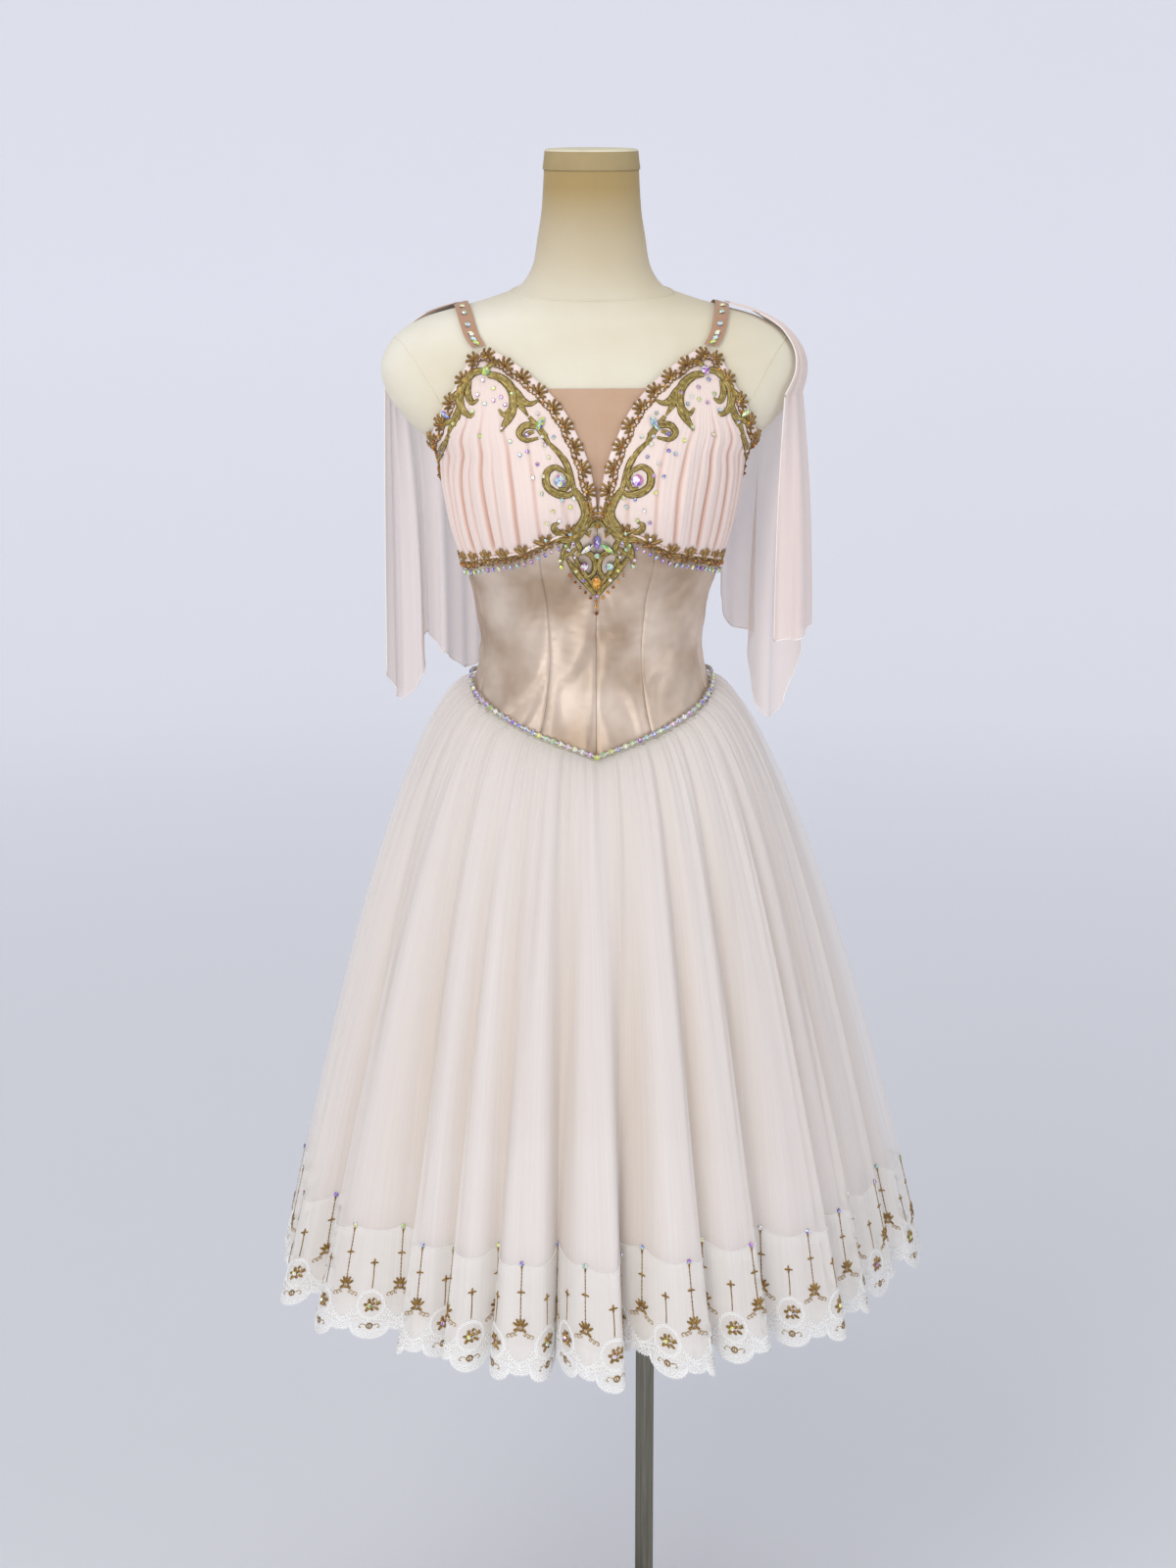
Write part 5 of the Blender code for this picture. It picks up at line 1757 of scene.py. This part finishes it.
def build_border(crystal):
    """The organza band with its scalloped hem and its embroidery."""
    hem = Hem(OVER._replace(lift=OVER.lift + 0.0006))
    band = tulle("organza_border", srgb(252, 249, 243), srgb(244, 239, 231), 0.58)
    columns = hem.count * 24 + 1
    u = np.linspace(0, hem.total, columns)
    low, high = hem_edge(u), band_top(u)
    share = np.linspace(0, 1, 16)[:, None]
    v = low + (high - low) * share
    points = hem.point(np.broadcast_to(np.minimum(u, hem.total - 1e-6), v.shape), v)
    uv = np.stack(np.broadcast_arrays(u, v), axis=-1)
    border = shell("skirt_border_organza", points, band, uv=uv)
    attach(border, "root")
    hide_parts("skirt_border")

    # Each thread's light and dark colours are painted highlight and painted shade.
    dark = gold_thread("brown_gold_thread", srgb(196, 160, 94), srgb(144, 110, 54), srgb(80, 58, 24))
    light = gold_thread("light_gold_thread", srgb(206, 180, 132), srgb(176, 146, 92), srgb(134, 104, 56), 0.3)
    white = white_thread()

    def work(name, pieces, look):
        grids = []
        for grid, uv in pieces:
            laid = hem.repeated(grid + (0, 0, 0.00025))
            grids.extend((one, uv) for one in laid)
        return add_on(strips(name, grids, look))

    bold = FLOWER + EYE + SHORT_CROSS + TALL_CROSS + TALL_FLOWER
    fine = ROUNDEL_CURLS + EYE_CURLS + HALF_GARLAND
    for stroke in HALF_GARLAND:
        fine.append(stroke._replace(points=[(REPEAT * 1000 - x, y) for x, y in stroke.points]))
    bold = [stroke._replace(width=stroke.width * 1.55) for stroke in bold]
    fine = [stroke._replace(width=stroke.width * 1.3) for stroke in fine]
    gold = work("border_gold", [worked(stroke, ROUND, 0.34, 1.5) for stroke in bold], dark)
    curls = work("border_curls", [worked(stroke, FLAT, 0.5, 1.2) for stroke in fine], light)
    cords = work("border_cords", border_cords(), white)
    top = hem.frames(u, band_top(u), np.full(len(u), 0.0002))[0]
    thread = add_on(solid("border_seam", *tube(top[:-1], 0.00032, 4), white))
    # A crystal in each roundel's flower and one on top of each tall stem.
    rows = [(-0.0012, 0.0316), (0.02875, 0.1105)]
    u_all = np.concatenate([hem.starts + row[0] for row in rows])
    v_all = np.repeat([row[1] for row in rows], hem.count)
    frames = hem.frames(u_all, v_all, np.full(len(u_all), 0.0007))
    sizes = np.tile([0.0025, 0.0025, 0.0017], (len(u_all), 1))
    gems = add_on(stones("border_crystals", gem(8, 0.55), frames, sizes, crystal, 41))


# ---------------------------------------------------------------- drapes


def drape_grid(lengths, middle, spread, stand_off, swing):
    """A smooth drape through its lengths: rows run from the end up to the strap.

    It is gathered at the strap about the angle middle and lies over the body until it leaves it."""
    keys = np.linspace(0, 1, len(lengths))
    share = np.linspace(0, 1, 90)
    angle = eased(keys, [item.angle for item in lengths], share)
    x = eased(keys, [item.x for item in lengths], share)
    y = eased(keys, [item.y for item in lengths], share)
    end = eased(keys, [item.end for item in lengths], share) + 0.0035 * np.sin(2 * np.pi * 3.4 * share + 1)
    gathered = middle + (share - 0.5) * spread
    reach = np.linspace(0, 1, 34)[:, None]
    turn = gathered + (angle - gathered) * reach**1.3 + swing * np.sin(np.pi * reach**0.7)
    level = DRAPE_TOP + (DRAPE_LEAVES - DRAPE_TOP) * reach
    folds = 0.0011 * np.sin(2 * np.pi * (share * 9 + 0.3 * np.sin(6 * share))) * (0.4 + 0.6 * reach)
    off = stand_off + (DRAPE_LIFT - stand_off) * reach**3
    over = lifted(turn, np.broadcast_to(level, turn.shape), off + folds)
    leaving = over[-1]
    fall = np.linspace(0, 1, 76)[1:, None]
    sway = (1 - (1 - fall) ** 2.2)[..., None]
    hang = np.stack([x, y, end], axis=-1)
    down = leaving + (hang - leaving) * sway
    run = unit(np.gradient(hang[:, :2], axis=0))
    ripple = 0.0032 * np.sin(2 * np.pi * (share * 8 + 0.25 * np.sin(5 * share))) * np.sqrt(fall)
    down[..., :2] += np.stack([run[:, 1], -run[:, 0]], axis=-1) * ripple[..., None]
    down[..., 2] = DRAPE_LEAVES + (end - DRAPE_LEAVES) * fall
    return np.concatenate([over, down])[::-1]


def build_drapes():
    look = chiffon("drape_chiffon", srgb(240, 222, 214), srgb(243, 223, 213), 0.58)
    rolled = chiffon("drape_rolled_hem", srgb(252, 244, 240), srgb(242, 228, 222))
    for name, lengths, middle, spread, off, swing in (
        ("right", RIGHT_DRAPE, 91, 26, 0.0052, 0),
        ("left", LEFT_DRAPE, 107, 20, 0.0046, 14),
    ):
        points = drape_grid(lengths, middle, spread, off, swing)
        if name == "left":
            points = mirrored(points)
        gathered = np.clip((np.arange(len(points)) - 62) / 42, 0, 1) ** 1.5
        fold = np.broadcast_to(gathered[:, None], points.shape[:2])
        made = shell(f"drape_{name}_chiffon", points, look, fold=fold)
        edge = np.concatenate([points[104:0:-1, 0], points[0], points[1:105, -1]])
        hem = add_on(solid(f"drape_{name}_rolled_hem", *tube(edge, 0.0007, 5), rolled))
        cloth_piece(made, [f"drape_{name}"])


# ---------------------------------------------------------------- stage


# The floor's own glow far from the object, which keeps it pale behind it.
BACKDROP_GLOW = 0.19


def build_backdrop():
    """A pale floor that turns up into a low wall far off, all the way round the object."""
    look = Shader("backdrop", 0.95)
    look.set(Base_Color=srgb(236, 237, 242), Specular_IOR_Level=0.1, Emission_Color=srgb(243, 244, 252))
    away = look.node("ShaderNodeVectorMath", {"operation": "LENGTH"}, Vector=look.coordinates())
    look.link(look.range(away.outputs["Value"], 0.8, 5.0, 0.0, BACKDROP_GLOW), "Emission Strength")
    bend = np.linspace(0, np.pi / 2, 16)
    profile = [(radius, 0.0) for radius in (0.001, 0.6, 1.5, 3.0, 4.2)]
    profile += [(5.0 + math.sin(a), 1.0 - math.cos(a)) for a in bend]
    profile.append((6.0, 3.3))
    turn = np.linspace(0, 2 * np.pi, 97)
    points = np.array([[(r * math.cos(a), r * math.sin(a), z) for a in turn] for r, z in profile])
    backdrop = shell("backdrop", points, look.material)
    backdrop.location.z = -0.0005


WARM = (1.0, 0.985, 0.96)
COOL = (0.96, 0.98, 1.0)
NEUTRAL = (1.0, 1.0, 1.0)
# Each light's name, place, the point it is aimed at, its size in metres, its watts and its colour.
LIGHTS = [
    ("key", (-1.6, -2.6, 3.0), (0, 0, 1.1), (1.8, 1.8), 37, WARM),
    ("low", (-0.85, -2.9, 0.90), (0, 0, 1.15), (0.5, 0.6), 10, WARM),
    ("fill", (2.6, -2.2, 1.6), (0, 0, 1.0), (2.2, 2.4), 14, COOL),
    ("top", (0, -0.2, 3.6), (0, 0.2, 0), (3.0, 2.0), 13, NEUTRAL),
]
SKY_STRENGTH = 0.52


def build_light(name, place, aim, size, power, colour):
    lamp = bpy.data.lights.new(name, "AREA")
    lamp.shape = "RECTANGLE"
    lamp.size, lamp.size_y = size
    lamp.energy = power
    lamp.color = colour
    made = bpy.data.objects.new(name, lamp)
    made.location = place
    x, y, z = np.array(aim) - np.array(place)
    made.rotation_euler = (math.atan2(math.hypot(x, y), -z), 0, math.atan2(-x, y))
    made.visible_camera = False
    bpy.context.scene.collection.objects.link(made)


def build_sky():
    """An even pale light from all round."""
    world = bpy.data.worlds.new("studio")
    world.use_nodes = True
    background = world.node_tree.nodes["Background"]
    background.inputs["Color"].default_value = srgb(240, 242, 248)
    background.inputs["Strength"].default_value = SKY_STRENGTH
    bpy.context.scene.world = world


CAMERA_PLACE = (-0.157, -2.996, 1.72)
LOOKING_DOWN = 13.47
TURNED_RIGHT = 2.936


def build_camera():
    """A camera in front of the dress, a little above it and turned towards its axis."""
    camera = bpy.data.cameras.new("camera")
    camera.lens = 70
    camera.sensor_width = 36
    made = bpy.data.objects.new("camera", camera)
    made.location = CAMERA_PLACE
    made.rotation_euler = (math.radians(90 - LOOKING_DOWN), 0, math.radians(-TURNED_RIGHT))
    bpy.context.scene.collection.objects.link(made)
    bpy.context.scene.camera = made


def build_stage():
    """The backdrop, soft lights, and the camera."""
    build_backdrop()
    for light in LIGHTS:
        build_light(*light)
    build_sky()
    scene = bpy.context.scene
    scene.view_settings.view_transform = "Standard"
    scene.cycles.transparent_max_bounces = 24
    build_camera()


def main():
    build_stage()
    dress_stand()
    build_form()
    build_bodice()
    build_cups()
    build_mesh_insert()
    build_bindings()
    build_straps()
    build_skirt()
    build_drapes()
    crystal = aurora("aurora_crystal")
    cloth = [
        piece
        for piece in bpy.data.objects
        if piece.name.endswith(("_satin", "_chiffon", "_net")) and not piece.name.startswith("drape")
    ]
    build_ornament(Ground(cloth), crystal)
    build_strap_stones(crystal)
    build_waist_chain(crystal)
    build_border(crystal)


main()
